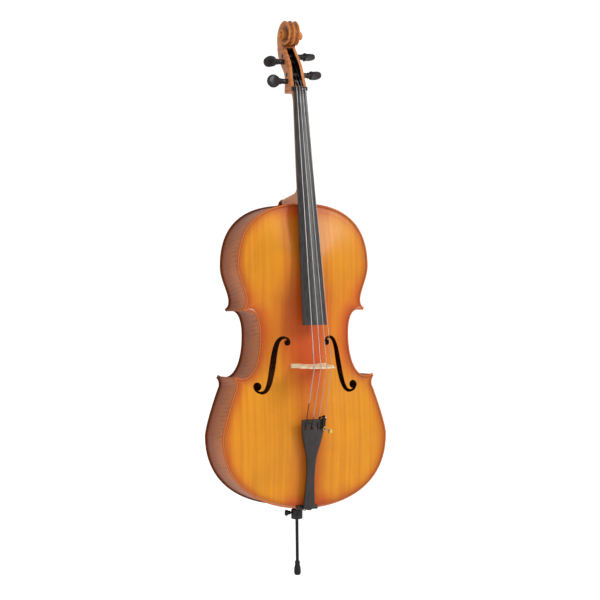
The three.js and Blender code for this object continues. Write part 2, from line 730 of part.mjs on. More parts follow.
// Each peg's side (bass -1, treble 1), and its place in the pegbox: how far back, how far up from the nut.
const PEGS = {
  c: { side: -1, back: -20, up: 25, turn: 0 },
  g: { side: -1, back: 8, up: 77, turn: 0.72 },
  d: { side: 1, back: 18, up: 92, turn: 1.2 },
  a: { side: 1, back: -15, up: 42, turn: 1.05 },
};
const pegHalf = (peg) => (PEGBOX_WIDTH / 2) * narrowing(nutLevel + peg.up);

// A peg's radius at a place along it, counted from the cheek by its head, inwards as minus.
const pegRadius = (peg, reach) => PEG_SHAFT + ((PEG_SHAFT - PEG_FAR_END) * reach) / (2 * pegHalf(peg));

function pegHole(peg) {
  const half = pegHalf(peg);
  const at = (reach) => v3(peg.side * (half + reach), peg.back, nutLevel + peg.up);
  const [near, far] = [10, -2 * half - 10];
  const wall = (reach) => pegRadius(peg, reach) + PEG_CLEARANCE;
  return rodBetween(at(near), at(far), wall(near), 20, wall(far));
}

const frontPlateSpace = prismY(outline(-GAP), frontEdge - 2.5, -ribHalf + GAP);
const tenonTop = BODY_LENGTH + TENON_RISE;
const tenonSpace = block(-60, 60, boardUnder(tenonTop) + GAP, ribHalf - GAP, 0, tenonTop);
let neck = taper(prismX([...CHEEK_FRONT.map(lift), ...rounded(CHEEK_BACK, 22)], -PEGBOX_WIDTH / 2, PEGBOX_WIDTH / 2))
  .add(prismX(spiral(0), -15, 15))
  .add(prismX(spiral(Math.PI), -18.5, 18.5))
  .add(prismX(spiral(1.7 * Math.PI), -22.5, 22.5))
  .add(prismX(spiral(2.4 * Math.PI), -27, 27))
  .add(prismX(spiral(3.3 * Math.PI), -SCROLL_EYE_HALF, SCROLL_EYE_HALF))
  .subtract(taper(cavity()));
for (const peg of Object.values(PEGS)) neck = neck.subtract(pegHole(peg));
neck = neck.add(loft(neckRings)).subtract(frontPlateSpace).add(tenon(0).intersect(tenonSpace));
add("neck_and_scroll", neck, MAPLE);

// A peg stands on its shaft's far end, and its head's round thumb piece is hollowed on both faces.
function pegSolid(peg) {
  const half = pegHalf(peg);
  const ring = (reach, tall, thick) =>
    steps(12).slice(1).map((share) => {
      const angle = share * 2 * Math.PI;
      return v3(half + reach, thick * Math.sin(angle), tall * Math.cos(angle));
    });
  const stations = [
    [-2 * half - 0.6, PEG_FAR_END - 0.4, PEG_FAR_END - 0.4],
    [-2 * half, PEG_FAR_END, PEG_FAR_END],
    [0, PEG_SHAFT, PEG_SHAFT],
    [15.8, PEG_SHAFT - 0.5, PEG_SHAFT - 0.5],
    [17.6, PEG_SHAFT + 1, PEG_SHAFT + 1],
    [19.8, PEG_SHAFT + 0.2, PEG_SHAFT + 0.2],
    [23.2, PEG_FLARE - 1, PEG_FLARE - 1],
    [25.2, PEG_FLARE + 0.6, PEG_FLARE],
    [27.4, PEG_FLARE + 2.3, PEG_FLARE - 3.4],
    [31.4, PEG_HEAD_HALF - 0.9, 6],
    [38, PEG_HEAD_HALF, 5.7],
    [47, PEG_HEAD_HALF - 3.3, 5.6],
    [51.4, PEG_HEAD_HALF - 8.2, 5],
    [PEG_REACH, 3, 3],
  ];
  return loft(stations.map(([reach, tall, thick]) => ring(reach, tall, thick)));
}

for (const [name, peg] of Object.entries(PEGS)) {
  const turnedPeg = new THREE.Group();
  turnedPeg.position.set(0, peg.back, nutLevel + peg.up);
  turnedPeg.rotation.set(peg.turn, 0, peg.side < 0 ? Math.PI : 0);
  instrument.add(turnedPeg);
  add(`${name}_peg`, pegSolid(peg), EBONY, turnedPeg);
}

// ---- Fingerboard and nut -----------------------------------------------------------------------------------

function boardRing(z) {
  const half = boardHalf(z);
  const ring = [v3(half, boardUnder(z), z), v3(-half, boardUnder(z), z)];
  for (const share of steps(12)) {
    const x = mix(-half, half, share);
    ring.push(v3(x, boardTop(x, z), z));
  }
  return ring;
}
const boardLow = nutLevel - BOARD_LENGTH;
add("fingerboard", loft([boardLow, nutLevel - GAP].map(boardRing)), EBONY);

function nutRing(z, lower) {
  const half = PEGBOX_WIDTH / 2;
  const behind = nutFrontLow - GAP;
  const ring = [v3(half, behind, z), v3(-half, behind, z), v3(-half, behind - 6, z)];
  for (const share of steps(8)) {
    const x = mix(-BOARD_NUT_WIDTH / 2, BOARD_NUT_WIDTH / 2, share);
    ring.push(v3(x, boardTop(x, nutLevel) - 2.2 + lower, z));
  }
  return [...ring, v3(half, behind - 6, z)];
}
add("nut", loft([nutRing(nutLevel, 0), nutRing(nutLevel + 4, 0), nutRing(nutLevel + NUT_HEIGHT - GAP, 5)]), EBONY);

// ---- Bridge ------------------------------------------------------------------------------------------------

// Half of its face, from the crown down to the foot and up the leg: across, and height above the arch as a share
// of the bridge's height.
const bridgeHalf = BRIDGE_FOOT_SPAN / 2;
const BRIDGE_FACE = [
  [34, 0.908], [34.5, 0.854], [30, 0.757], [33, 0.67], [41, 0.605], [44, 0.53],
  [40, 0.454], [32, 0.411], [30, 0.335], [33, 0.238], [38, 0.13], [bridgeHalf - 1, 0.011],
  [bridgeHalf, -0.151], [22, -0.151], [23, 0.032], [25, 0.097], [20, 0.184], [10, 0.227], [0, 0.238],
];
function bridge() {
  const face = (side) => BRIDGE_FACE.map(([x, rise]) => v2(side * x, bridgeCrown + BRIDGE_HEIGHT * (1 - rise)));
  const crown = steps(10).map((share) => {
    const x = mix(-32, 32, share);
    return v2(x, bridgeTop(x));
  });
  const outlineFace = [...crown, ...face(1), ...face(-1).reverse().slice(1)];
  const half = BRIDGE_FOOT_THICKNESS / 2;
  const blank = prismY(outlineFace.map((p) => v2(p.x, p.y)), -half, half);
  // the face was drawn in the [x, y] plane, so stand it up with its thickness along the body
  const upright = blank.rotate([-90, 0, 0]).translate([0, 0, bridgeLevel]);
  const foot = bridgeCrown + BRIDGE_HEIGHT + 20;
  const low = bridgeLevel - half;
  const wedge = prismX(
    [v2(bridgeCrown - 5, low), v2(foot, low), v2(foot, low + BRIDGE_FOOT_THICKNESS),
      v2(bridgeCrown + BRIDGE_HEIGHT * 0.9, low + BRIDGE_FOOT_THICKNESS),
      v2(bridgeCrown - 5, low + BRIDGE_TOP_THICKNESS)],
    -60, 60,
  );
  const heart = rodBetween(
    v3(0, bridgeCrown + BRIDGE_HEIGHT * 0.39, bridgeLevel - 20),
    v3(0, bridgeCrown + BRIDGE_HEIGHT * 0.39, bridgeLevel + 20), BRIDGE_HEART, 14,
  );
  return upright.intersect(wedge).subtract(heart).subtract(frontAndBehind);
}
add("bridge", bridge(), PALE_MAPLE);

// ---- Endpin, with the collar and thumbscrew that hold it ----------------------------------------------------

const rodBore = ROD_RADIUS + ROD_CLEARANCE;
const clampBore = rodBetween(v3(-30, 0, CLAMP_HEIGHT), v3(0, 0, CLAMP_HEIGHT), CLAMP_SHANK, 12);
const collar = turned([
  [rodBore, -COLLAR_LENGTH],
  [COLLAR_RADIUS - 3, -COLLAR_LENGTH],
  [COLLAR_RADIUS, -COLLAR_LENGTH + 3],
  [COLLAR_RADIUS, -PLUG_NECK_LENGTH - 2],
  [PLUG_NECK, -PLUG_NECK_LENGTH],
  [PLUG_NECK, 1],
  [PLUG_RADIUS - 0.4, ribOuter],
  [PLUG_RADIUS - 1.5, PLUG_INSIDE],
  [rodBore, PLUG_INSIDE],
  [rodBore, -COLLAR_LENGTH],
], 28).subtract(clampBore);
add("endpin_collar", collar, EBONY);

add("endpin_rod", turned([
  [0, TIP_LENGTH - TIP_COVER - TIP_REACH],
  [ROD_RADIUS, TIP_LENGTH - TIP_COVER - TIP_REACH],
  [ROD_RADIUS, ROD_INSIDE - 3],
  [ROD_RADIUS - 1.5, ROD_INSIDE],
  [0, ROD_INSIDE],
], 20), BLACK_METAL);

const tipSocket = TIP_LENGTH - TIP_COVER - GAP;
add("endpin_tip", turned([
  [0, 0],
  [TIP_FOOT, 0],
  [TIP_RADIUS * 0.87, 2.5],
  [TIP_RADIUS, 7],
  [TIP_RADIUS, 14],
  [TIP_RADIUS * 0.9, 20],
  [TIP_RADIUS * 0.73, 25],
  [TIP_RADIUS * 0.73, TIP_LENGTH - 1],
  [ROD_RADIUS + 1.4, TIP_LENGTH],
  [ROD_RADIUS + GAP, TIP_LENGTH],
  [ROD_RADIUS + GAP, tipSocket],
  [0, tipSocket],
].map(([radius, height]) => [radius, height - TIP_REACH]), 24), RUBBER);

// The thumbscrew's shank presses on the rod, and the wing turns on its outer end.
const shankInner = -ROD_RADIUS - GAP;
const shankOuter = -COLLAR_RADIUS - CLAMP_REACH;
const shank = rodBetween(
  v3(shankOuter, 0, CLAMP_HEIGHT), v3(shankInner, 0, CLAMP_HEIGHT), CLAMP_SHANK - 0.4, 12,
);
add("clamp_screw_shank", shank, BLACK_METAL);

function clampWing() {
  const near = shankOuter + 9;
  const sections = [
    [0, 4.4, 4.4], [1.5, 5.2, 5.2], [5, 5, 5], [7, 6.5, 3.4], [10, 8, 2.9],
    [WING_LENGTH - 2, 7, 2.6], [WING_LENGTH, 4.5, 1.6],
  ];
  const rings = sections.map(([out, tall, thick]) =>
    steps(16).slice(1).map((share) => {
      const angle = share * 2 * Math.PI;
      return v3(near - out, thick * Math.sin(angle), CLAMP_HEIGHT + tall * Math.cos(angle));
    }));
  const socket = rodBetween(v3(shankOuter - GAP, 0, CLAMP_HEIGHT), v3(near + 5, 0, CLAMP_HEIGHT), CLAMP_SHANK, 12);
  return loft(rings).subtract(socket);
}
add("clamp_screw_wing", clampWing(), BLACK_METAL);

// ---- Saddle, tailpiece and tailgut --------------------------------------------------------------------------

const saddleFront = frontEdge - SADDLE_HEIGHT;
const saddle = prismX([
  v2(saddleFront + 2, -2), v2(saddleFront, 2), v2(saddleFront + 1, SADDLE_DEPTH - 1.5),
  v2(frontEdge, SADDLE_DEPTH), v2(-ribHalf - GAP, SADDLE_DEPTH), v2(-ribHalf - GAP, 0), v2(frontEdge, -2),
], -SADDLE_WIDTH / 2, SADDLE_WIDTH / 2);
add("saddle", saddle, EBONY);

const tailLow = TAIL_TOP - TAIL_LENGTH;
const tailForward = (z) => mix(TAIL_LOW_FORWARD, TAIL_TOP_FORWARD, (z - tailLow) / TAIL_LENGTH);
const TAIL_WIDTHS = [
  [0, 4], [2.5, 8], [6, 11.4], [12, 14], [35, 13], [55, 11.4], [75, 10.4], [96, 10.6], [116, 11.2],
  [137, 13.6], [157, 19.4], [177, 24.7], [198, 28.6], [214, 29.2], [TAIL_LENGTH, 29.2],
];
const tailHalf = (z) => {
  const along = z - tailLow;
  const i = Math.min(Math.max(TAIL_WIDTHS.findIndex(([reach]) => reach > along), 1), TAIL_WIDTHS.length - 1);
  const [[a, halfA], [b, halfB]] = [TAIL_WIDTHS[i - 1], TAIL_WIDTHS[i]];
  return mix(halfA, halfB, THREE.MathUtils.clamp((along - a) / (b - a), 0, 1));
};
// The tailpiece's rounded face, at a place across and a height up the body.
const tailFace = (x, z) => frontEdge - tailForward(z) - TAIL_THICKNESS * 0.55 - sag(TAIL_ARCH, tailHalf(z)) + sag(TAIL_ARCH, x);

function tailRing(z, thin = 1) {
  const half = tailHalf(z);
  const back = frontEdge - tailForward(z) + TAIL_THICKNESS * 0.35 * thin;
  const ring = [];
  for (const share of steps(10)) {
    const x = mix(-half, half, share);
    ring.push(v3(x, tailFace(x, z) + (1 - thin) * 2, z));
  }
  // hollowed underneath
  const hollow = sag(TAIL_ARCH, half) * 0.6;
  for (const share of steps(4)) {
    const x = mix(half, -half, share);
    ring.push(v3(x, back - hollow * Math.sin(Math.PI * share), z));
  }
  return ring;
}

const holeLevel = TAIL_TOP - TAIL_HOLE_DROP;
const fretLevel = TAIL_TOP - 9;
const STRINGS = ["c", "g", "d", "a"];
const across = (spread) => (_, i) => spread * (i - 1.5);
const NUT_X = STRINGS.map(across(NUT_SPREAD));
const BRIDGE_X = STRINGS.map(across(BRIDGE_SPREAD));
const TAIL_X = STRINGS.map(across(TAIL_SPREAD));
const STRING_RADII = [1.05, 0.85, 0.65, 0.55]; // c g d a

const keyhole = (x) =>
  rodBetween(v3(x, frontEdge - 90, holeLevel), v3(x, frontEdge, holeLevel), TAIL_HOLE_RADIUS, 14).add(
    block(x - 1.45, x + 1.45, frontEdge - 90, frontEdge, holeLevel, fretLevel - 3),
  );
const fretSpace = (grow) => {
  const ring = (z) => {
    const half = tailHalf(z) - 2.4 + grow;
    const top = steps(8).map((share) => v3(mix(-half, half, share), tailFace(mix(-half, half, share), z) - 1.6 - grow, z));
    const low = steps(8).map((share) => v3(mix(half, -half, share), tailFace(mix(half, -half, share), z) + 2 + grow, z));
    return [...top, ...low];
  };
  return loft([ring(fretLevel - 1.5 - grow), ring(fretLevel + 1.5 + grow)]);
};
const tuner = new THREE.Group(); // its own -Y points out of the tailpiece's face
tuner.position.set(TAIL_X[3], tailFace(TAIL_X[3], holeLevel), holeLevel);
tuner.rotation.set(TUNER_LEAN, 0, TUNER_TILT);
tuner.updateMatrix();
instrument.add(tuner);
const atTuner = (x, y, z) => v3(x, y, z).applyMatrix4(tuner.matrix);

const tailLevels = [0, 2.5, 6, 12, 35, 75, 116, 137, 157, 177, 190, 207, TAIL_LENGTH].map((along) => tailLow + along);
let tailpiece = loft(tailLevels.map((z, i) => tailRing(z, i === 0 ? 0.75 : 1)));
for (const x of TAIL_X.slice(0, 3)) tailpiece = tailpiece.subtract(keyhole(x));
const tunerHole = rodBetween(atTuner(0, -12, 0), atTuner(0, 16, 0), TAIL_HOLE_RADIUS + 0.3);
tailpiece = tailpiece.subtract(fretSpace(GAP)).subtract(tunerHole);
add("tailpiece", tailpiece, EBONY);
add("tailpiece_fret", fretSpace(0), EBONY);

// The gut is tied behind the tailpiece, and runs over the saddle and round the collar's neck.
function gutPath() {
  const off = GUT_RADIUS + GAP;
  const tailBack = (z) => frontEdge - tailForward(z) + TAIL_THICKNESS * 0.35;
  const low = -2 - off;
  const loop = PLUG_NECK + off + 0.2;
  const half = [
    v3(5.5, tailBack(tailLow + 22) + off + 0.3, tailLow + 22),
    v3(5.8, saddleFront - off - 0.3, 5),
    v3(6, saddleFront - off, 2),
    v3(6.2, saddleFront - off + 0.5, -0.8),
    v3(6.4, saddleFront + 0.4, low - 0.2),
  ];
  const round = steps(16).map((share) => {
    const angle = share * Math.PI;
    return v3(loop * Math.cos(angle), loop * Math.sin(angle), low);
  });
  const back = half.map((p) => v3(-p.x, p.y, p.z)).reverse();
  return [...half, ...round, ...back];
}
add("tailgut", wire(gutPath(), GUT_RADIUS, 8), BLACK_METAL);

// ---- Fine tuner on the A string ------------------------------------------------------------------------------

const PIVOT = [-1, 26]; // back and up from the hole
const tubeRadius = TUNER_SCREW + 1.1;
const alongTuner = (from, to, radius, segments = 16) => rodBetween(v3(0, from, 0), v3(0, to, 0), radius, segments);
const pin = rodBetween(v3(-4, ...PIVOT), v3(4, ...PIVOT), 1, 10);
const tunerCheek = (side) => {
  const sideX = [side * 2.6, side * 4.2].sort((a, b) => a - b);
  return prismX([v2(-8, 21.6), v2(-4, 21.6), v2(2.5, 24), v2(2.5, 29), v2(-4, 30), v2(-8, 27)], ...sideX);
};
const bracket = block(-4.2, 4.2, -6.2, -3.7, -5, 22.5)
  .add(alongTuner(-12, 8, tubeRadius))
  .add(tunerCheek(-1))
  .add(tunerCheek(1))
  .add(pin)
  .subtract(alongTuner(-20, 20, TUNER_SCREW + GAP));
add("tuner_bracket", bracket, BLACK_METAL, tuner);
const ringNut = alongTuner(-9.6, -6.2 - GAP, 4.8, 20).subtract(alongTuner(-20, 20, tubeRadius + GAP));
add("tuner_nut", ringNut, GOLD, tuner);

const lever = prismX([
  v2(-6.6, 31), v2(-4, 33), v2(0.5, 30.5), v2(3, 27.4), v2(14, 26), v2(15.6, 24), v2(15.6, -4),
  v2(13.2, -4), v2(13.2, 22.6), v2(3, 23.6), v2(-2, 23), v2(-4, 25), v2(-6.6, 25),
], -2.2, 2.2).subtract(rodBetween(v3(-4, ...PIVOT), v3(4, ...PIVOT), 1 + GAP, 12));
add("tuner_lever", lever, BLACK_METAL, tuner);
add("tuner_screw", alongTuner(-34, 12.8, TUNER_SCREW, 12), STEEL, tuner);
const knob = turned([[0, 0], [4.6, 0], [5.4, 1], [5.4, 6.4], [4.6, 7.4], [2.6, 7.8], [2.6, 10.5], [0, 10.5], [0, 0]], 20)
  .rotate([-90, 0, 0])
  .translate([0, -39, 0])
  .subtract(alongTuner(-34 - GAP, 0, TUNER_SCREW + GAP, 12));
add("tuner_knob", knob, GOLD, tuner);

// ---- Strings ---------------------------------------------------------------------------------------------------

const bridgeTopLevel = bridgeLevel - BRIDGE_FOOT_THICKNESS / 2 + BRIDGE_TOP_THICKNESS / 2;
const cavityHalf = (peg) => (PEGBOX_WIDTH / 2 - PEGBOX_WALL) * narrowing(nutLevel + peg.up);
const WINDING_TURNS = 2.5;

STRINGS.forEach((name, i) => {
  const peg = PEGS[name];
  const radius = STRING_RADII[i];
  const clear = GAP + radius;
  const pitch = 2 * radius + 0.15;
  const coil = PEG_SHAFT + clear;
  const far = peg.side * (cavityHalf(peg) - 0.6 - radius);
  const near = far - peg.side * pitch * WINDING_TURNS;
  const nutTop = boardTop(NUT_X[i], nutLevel) - 2.2;
  const onward = [
    v3(BRIDGE_X[i], bridgeTop(BRIDGE_X[i]) - clear - 0.6, bridgeTopLevel),
    v3(NUT_X[i], nutTop - clear - 0.3, nutLevel + 4.5),
    v3(NUT_X[i], nutTop + 5 - clear - 0.6, nutLevel + NUT_HEIGHT + 1),
    v3(near, peg.back - coil - radius - clear, nutLevel + peg.up),
  ];
  const x = TAIL_X[i];
  const ballAt = v3(x, frontEdge - tailForward(holeLevel) + 8, holeLevel + 5);
  const onTail = [
    ballAt,
    v3(x, tailFace(x, holeLevel) - 1.5, holeLevel + 5),
    v3(x, tailFace(x, fretLevel) - 1.6 - clear - 0.6, fretLevel),
  ];
  const hook = atTuner(0, -8.6 - GAP, 28);
  const start = name === "a" ? [hook] : onTail;
  const ball = rodBetween(start[0].clone().add(v3(-1.9, 0, 0)), start[0].clone().add(v3(1.9, 0, 0)), 1.9, 12);
  add(`${name}_string`, wire([...start, ...onward], radius).add(ball), STEEL);

  const turns = steps(20).map((share) => {
    const angle = 0.12 + share * 2 * Math.PI * WINDING_TURNS;
    return v3(mix(near, far, share), -coil * Math.cos(angle), coil * Math.sin(angle));
  });
  const wound = wire(turns, radius).translate([0, peg.back, nutLevel + peg.up]);
  add(`${name}_string_winding`, wound, STEEL);
});

export default cello;
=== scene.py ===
# A full-size cello, put together in the order a maker works: front, back and ribs, what is glued inside, the
# neck and its head, the fingerboard, the bridge, and the fittings that hold and tune the strings.
# Lengths are written in millimetres, counted up from the body's lower edge, and MM turns them into metres.
import math
import bpy
import numpy as np
from mathutils import Matrix, Vector
from mathutils.geometry import delaunay_2d_cdt


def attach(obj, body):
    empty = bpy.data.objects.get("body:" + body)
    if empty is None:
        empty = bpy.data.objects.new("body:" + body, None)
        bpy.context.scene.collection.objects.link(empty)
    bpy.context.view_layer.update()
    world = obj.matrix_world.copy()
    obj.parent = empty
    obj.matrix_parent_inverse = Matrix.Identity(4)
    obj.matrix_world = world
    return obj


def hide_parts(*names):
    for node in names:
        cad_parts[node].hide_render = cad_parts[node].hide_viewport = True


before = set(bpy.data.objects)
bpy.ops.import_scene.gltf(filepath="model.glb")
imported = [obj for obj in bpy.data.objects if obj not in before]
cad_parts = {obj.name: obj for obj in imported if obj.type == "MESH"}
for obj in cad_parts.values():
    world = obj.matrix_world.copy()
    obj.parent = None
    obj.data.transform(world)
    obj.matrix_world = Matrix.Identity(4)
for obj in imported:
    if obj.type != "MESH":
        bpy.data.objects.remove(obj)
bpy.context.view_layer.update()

# ---- Front plate -------------------------------------------------------------------------------------------
# Two wedges of spruce joined down the middle and carved to an arch, with a rounded edge, a shallow channel
# inside it and two f-holes. It carries a golden varnish, shaded redder towards its edges.

MM = 0.001
BODY_EDGE = 172  # the body's lower edge above the floor
BODY_LENGTH = 755
LOWER, WAIST, UPPER = 220, 119, 175  # half widths of the bouts and the waist
RIB_HALF = 59
EDGE_THICK = 4.5
FRONT_ARCH, BACK_ARCH = 25, 24
BRIDGE_LINE = 354

# The outline's right half runs in three smooth stretches, which meet at the two corners.
LOWER_STRETCH = [(0, 0), (0.47, 0), (1, 0.062), (1, 0.236), (1, 0.268), (0.864, 0.378), (0.828, 0.4),
                 (0.82, 0.41), (0.83, 0.423), (0.855, 0.429)]
WAIST_STRETCH = [(183.5, 0.439), (150, 0.41), (WAIST, 0.463), (WAIST, 0.5695), (WAIST, 0.633), (134, 0.659),
                 (159.3, 0.647)]
UPPER_STRETCH = [(0.938, 0.655), (0.9, 0.66), (0.878, 0.666), (0.876, 0.68), (0.874, 0.712), (1, 0.752),
                 (1, 0.796), (1, 0.944), (0.59, 1), (0, 1)]
STRETCHES = [np.array(points, float) * (width, BODY_LENGTH) for points, width in
             ((LOWER_STRETCH, LOWER), (WAIST_STRETCH, 1), (UPPER_STRETCH, UPPER))]


def bezier(knots, count):
    """Points along joined cubic beziers."""
    share = np.linspace(0, 1, count)[:, None]
    found = []
    for i in range(0, len(knots) - 3, 3):
        a, b, c, d = (np.asarray(k, float) for k in knots[i:i + 4])
        rest = 1 - share
        part = a * rest**3 + 3 * b * share * rest**2 + 3 * c * share**2 * rest + d * share**3
        found.append(part if not found else part[1:])
    return np.vstack(found)


def inset(points, distance):
    """A stretch moved inwards, which is to the left of its run."""
    along = np.gradient(points, axis=0)
    along /= np.linalg.norm(along, axis=1)[:, None]
    return points + distance * np.column_stack([-along[:, 1], along[:, 0]])


def join(first, second):
    """Two stretches cut where they cross, or joined straight if they stay apart."""
    for i in range(len(first) - 2, -1, -1):
        a, ab = first[i], first[i + 1] - first[i]
        c, cd = second[:-1], second[1:] - second[:-1]
        turn = ab[0] * cd[:, 1] - ab[1] * cd[:, 0]
        turn[turn == 0] = 1e-12
        ac = c - a
        s = (ac[:, 0] * cd[:, 1] - ac[:, 1] * cd[:, 0]) / turn
        t = (ac[:, 0] * ab[1] - ac[:, 1] * ab[0]) / turn
        hits = np.nonzero((s >= 0) & (s <= 1) & (t >= 0) & (t <= 1))[0]
        if len(hits):
            j = hits[0]
            return np.vstack([first[:i + 1], [a + ab * s[j]], second[j + 1:]])
    return np.vstack([first, second])


def half_outline(distance, count=26):
    low, middle, high = (inset(bezier(stretch, count), distance) for stretch in STRETCHES)
    return join(join(low, middle), high)


def outline(distance):
    right = half_outline(distance)
    right[0, 0] = right[-1, 0] = 0
    return np.vstack([right, (right[1:-1] * (-1, 1))[::-1]])


EDGE = outline(0)


def inside(points, polygon):
    """Which points lie in a closed polygon."""
    x, z = points[:, 0], points[:, 1]
    found = np.zeros(len(points), bool)
    for a, b in zip(polygon, np.roll(polygon, -1, axis=0)):
        crosses = (a[1] > z) != (b[1] > z)
        rise = b[1] - a[1] if b[1] != a[1] else 1e-12
        found ^= crosses & (x < a[0] + (z - a[1]) / rise * (b[0] - a[0]))
    return found


def distance_to(points, polygon):
    nearest = np.full(len(points), 1e9)
    for a, b in zip(polygon, np.roll(polygon, -1, axis=0)):
        ab = b - a
        share = np.clip(((points - a) @ ab) / max(ab @ ab, 1e-9), 0, 1)
        nearest = np.minimum(nearest, np.linalg.norm(points - a - share[:, None] * ab, axis=1))
    return nearest


def ease(value, low, high):
    share = np.clip((value - low) / (high - low), 0, 1)
    return share * share * (3 - 2 * share)


def mix(a, b, share):
    return a + (b - a) * share


# The arching, worked out on a grid and softened, as scraping leaves it.
GRID = 2.5
GRID_X = np.arange(-LOWER - 10, LOWER + 10 + GRID, GRID)
GRID_Z = np.arange(-10, BODY_LENGTH + 10 + GRID, GRID)


def soften(field, reach):
    kernel = np.exp(-0.5 * (np.arange(-3 * reach, 3 * reach + GRID, GRID) / reach)**2)
    kernel /= kernel.sum()
    for axis in (0, 1):
        field = np.apply_along_axis(lambda row: np.convolve(row, kernel, mode="same"), axis, field)
    return field


def carved_arch():
    x, z = np.meshgrid(GRID_X, GRID_Z)
    points = np.column_stack([x.ravel(), z.ravel()])
    deep = np.where(inside(points, EDGE), distance_to(points, EDGE), 0)
    half = mix(mix(LOWER, WAIST, ease(points[:, 1], 178, 430)), UPPER, ease(points[:, 1], 430, 612))
    share = np.clip((deep - 9) / (half - 9), 0, 1)
    rise = 0.5 - 0.5 * np.cos(np.pi * share**0.85)
    return soften(rise.reshape(x.shape), 13.0)


ARCH = carved_arch()
ARCH /= ARCH.max()


def arch_share(x, z):
    column = np.clip((np.asarray(x, float) - GRID_X[0]) / GRID, 0, len(GRID_X) - 1.001)
    row = np.clip((np.asarray(z, float) - GRID_Z[0]) / GRID, 0, len(GRID_Z) - 1.001)
    i, j = row.astype(int), column.astype(int)
    u, v = row - i, column - j
    return mix(mix(ARCH[i, j], ARCH[i, j + 1], v), mix(ARCH[i + 1, j], ARCH[i + 1, j + 1], v), u)


def plate_rise(points, rim, arch):
    """Height of a plate's outer face above the ribs: bead, channel, then arch."""
    bead = np.interp(rim, [0, 0.4, 1.0, 2.0, 3.2, 4.6, 5.9, 7.5, 10, 14],
                     [1.9, 3.3, 4.2, 4.75, 4.6, 4.0, 3.65, 3.5, 3.7, EDGE_THICK])
    return bead + arch * arch_share(points[:, 0], points[:, 1]) * ease(rim, 6, 30)


def under_plate(points, rim, arch):
    edge = np.interp(rim, [0, 0.4, 1.0, 2.0], [1.5, 0.6, 0.15, 0])
    return edge + arch * arch_share(points[:, 0], points[:, 1]) * ease(rim, 10, 34)


def make_piece(name, points, faces, body="body", materials=(), slots=None, marks=None, corner=35,
               replaced=()):
    """A mesh in millimetres made into a piece that rides on a body. Marks are values kept on its points."""
    mesh = bpy.data.meshes.new(name)
    placed = (np.asarray(points, float) + (0, 0, BODY_EDGE)) * MM
    mesh.from_pydata(placed.tolist(), [], [tuple(int(i) for i in face) for face in faces])
    for material in materials:
        mesh.materials.append(material)
    if slots is not None:
        mesh.polygons.foreach_set("material_index", np.asarray(slots, np.int32))
    for mark, values in (marks or {}).items():
        values = np.asarray(values, np.float32)
        kind = "FLOAT_VECTOR" if values.ndim == 2 else "FLOAT"
        layer = mesh.attributes.new(mark, kind, "POINT")
        layer.data.foreach_set("vector" if values.ndim == 2 else "value", values.ravel())
    mesh.validate()
    mesh.shade_smooth()
    mesh.set_sharp_from_angle(angle=math.radians(corner))
    piece = bpy.data.objects.new(name, mesh)
    bpy.context.scene.collection.objects.link(piece)
    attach(piece, body)
    if replaced:
        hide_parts(*replaced)
    return piece


def cut_sheet(loops, spread):
    """A flat sheet cut to the first loop with the others cut out of it, filled with triangles through the
    points of spread. Gives its points and faces."""
    limits, total = [], 0
    for loop in loops:
        limits += [(total + i, total + (i + 1) % len(loop)) for i in range(len(loop))]
        total += len(loop)
    keep = inside(spread, loops[0]) & (distance_to(spread, loops[0]) > 0.2)
    for loop in loops[1:]:
        keep &= ~inside(spread, loop) & (distance_to(spread, loop) > 0.6)
    chosen = np.vstack(list(loops) + [spread[keep]])
    found = delaunay_2d_cdt([Vector(p) for p in chosen], limits, [], 0, 1e-4)
    flat = np.array([tuple(v) for v in found[0]])
    faces = np.array([f for f in found[2] if len(f) == 3])
    middle = flat[faces].mean(axis=1)
    keep = inside(middle, loops[0])
    for loop in loops[1:]:
        keep &= ~inside(middle, loop)
    faces = faces[keep]
    a, b, c = (flat[faces[:, k]] for k in range(3))
    turned = (b - a)[:, 0] * (c - a)[:, 1] - (b - a)[:, 1] * (c - a)[:, 0] < 0
    faces[turned] = faces[turned][:, ::-1]
    return flat, faces


def thick_sheet(name, flat, faces, face_y, behind_y, walled=None, **more):
    """Two skins over one cut sheet, joined by walls round its edge and its holes."""
    near = np.column_stack([flat[:, 0], face_y, flat[:, 1]])
    far = np.column_stack([flat[:, 0], behind_y, flat[:, 1]])
    total = len(flat)
    if np.mean(face_y) > np.mean(behind_y):
        faces = faces[:, ::-1]
    used = {(f[i], f[(i + 1) % 3]) for f in faces.tolist() for i in range(3)}
    walls = [(q, p, p + total, q + total) for p, q in sorted(used) if (q, p) not in used]
    skins = faces.tolist() + (faces[:, ::-1] + total).tolist()
    slots = [0] * len(skins)
    slots += [int(walled[q] and walled[p]) if walled is not None else 0 for q, p, _, _ in walls]
    return make_piece(name, np.vstack([near, far]), skins + walls, slots=slots, **more)


RIM_STEPS = [0, 0.4, 1.0, 2.0, 3.2, 4.6, 5.9, 7.5, 10, 14, 19]


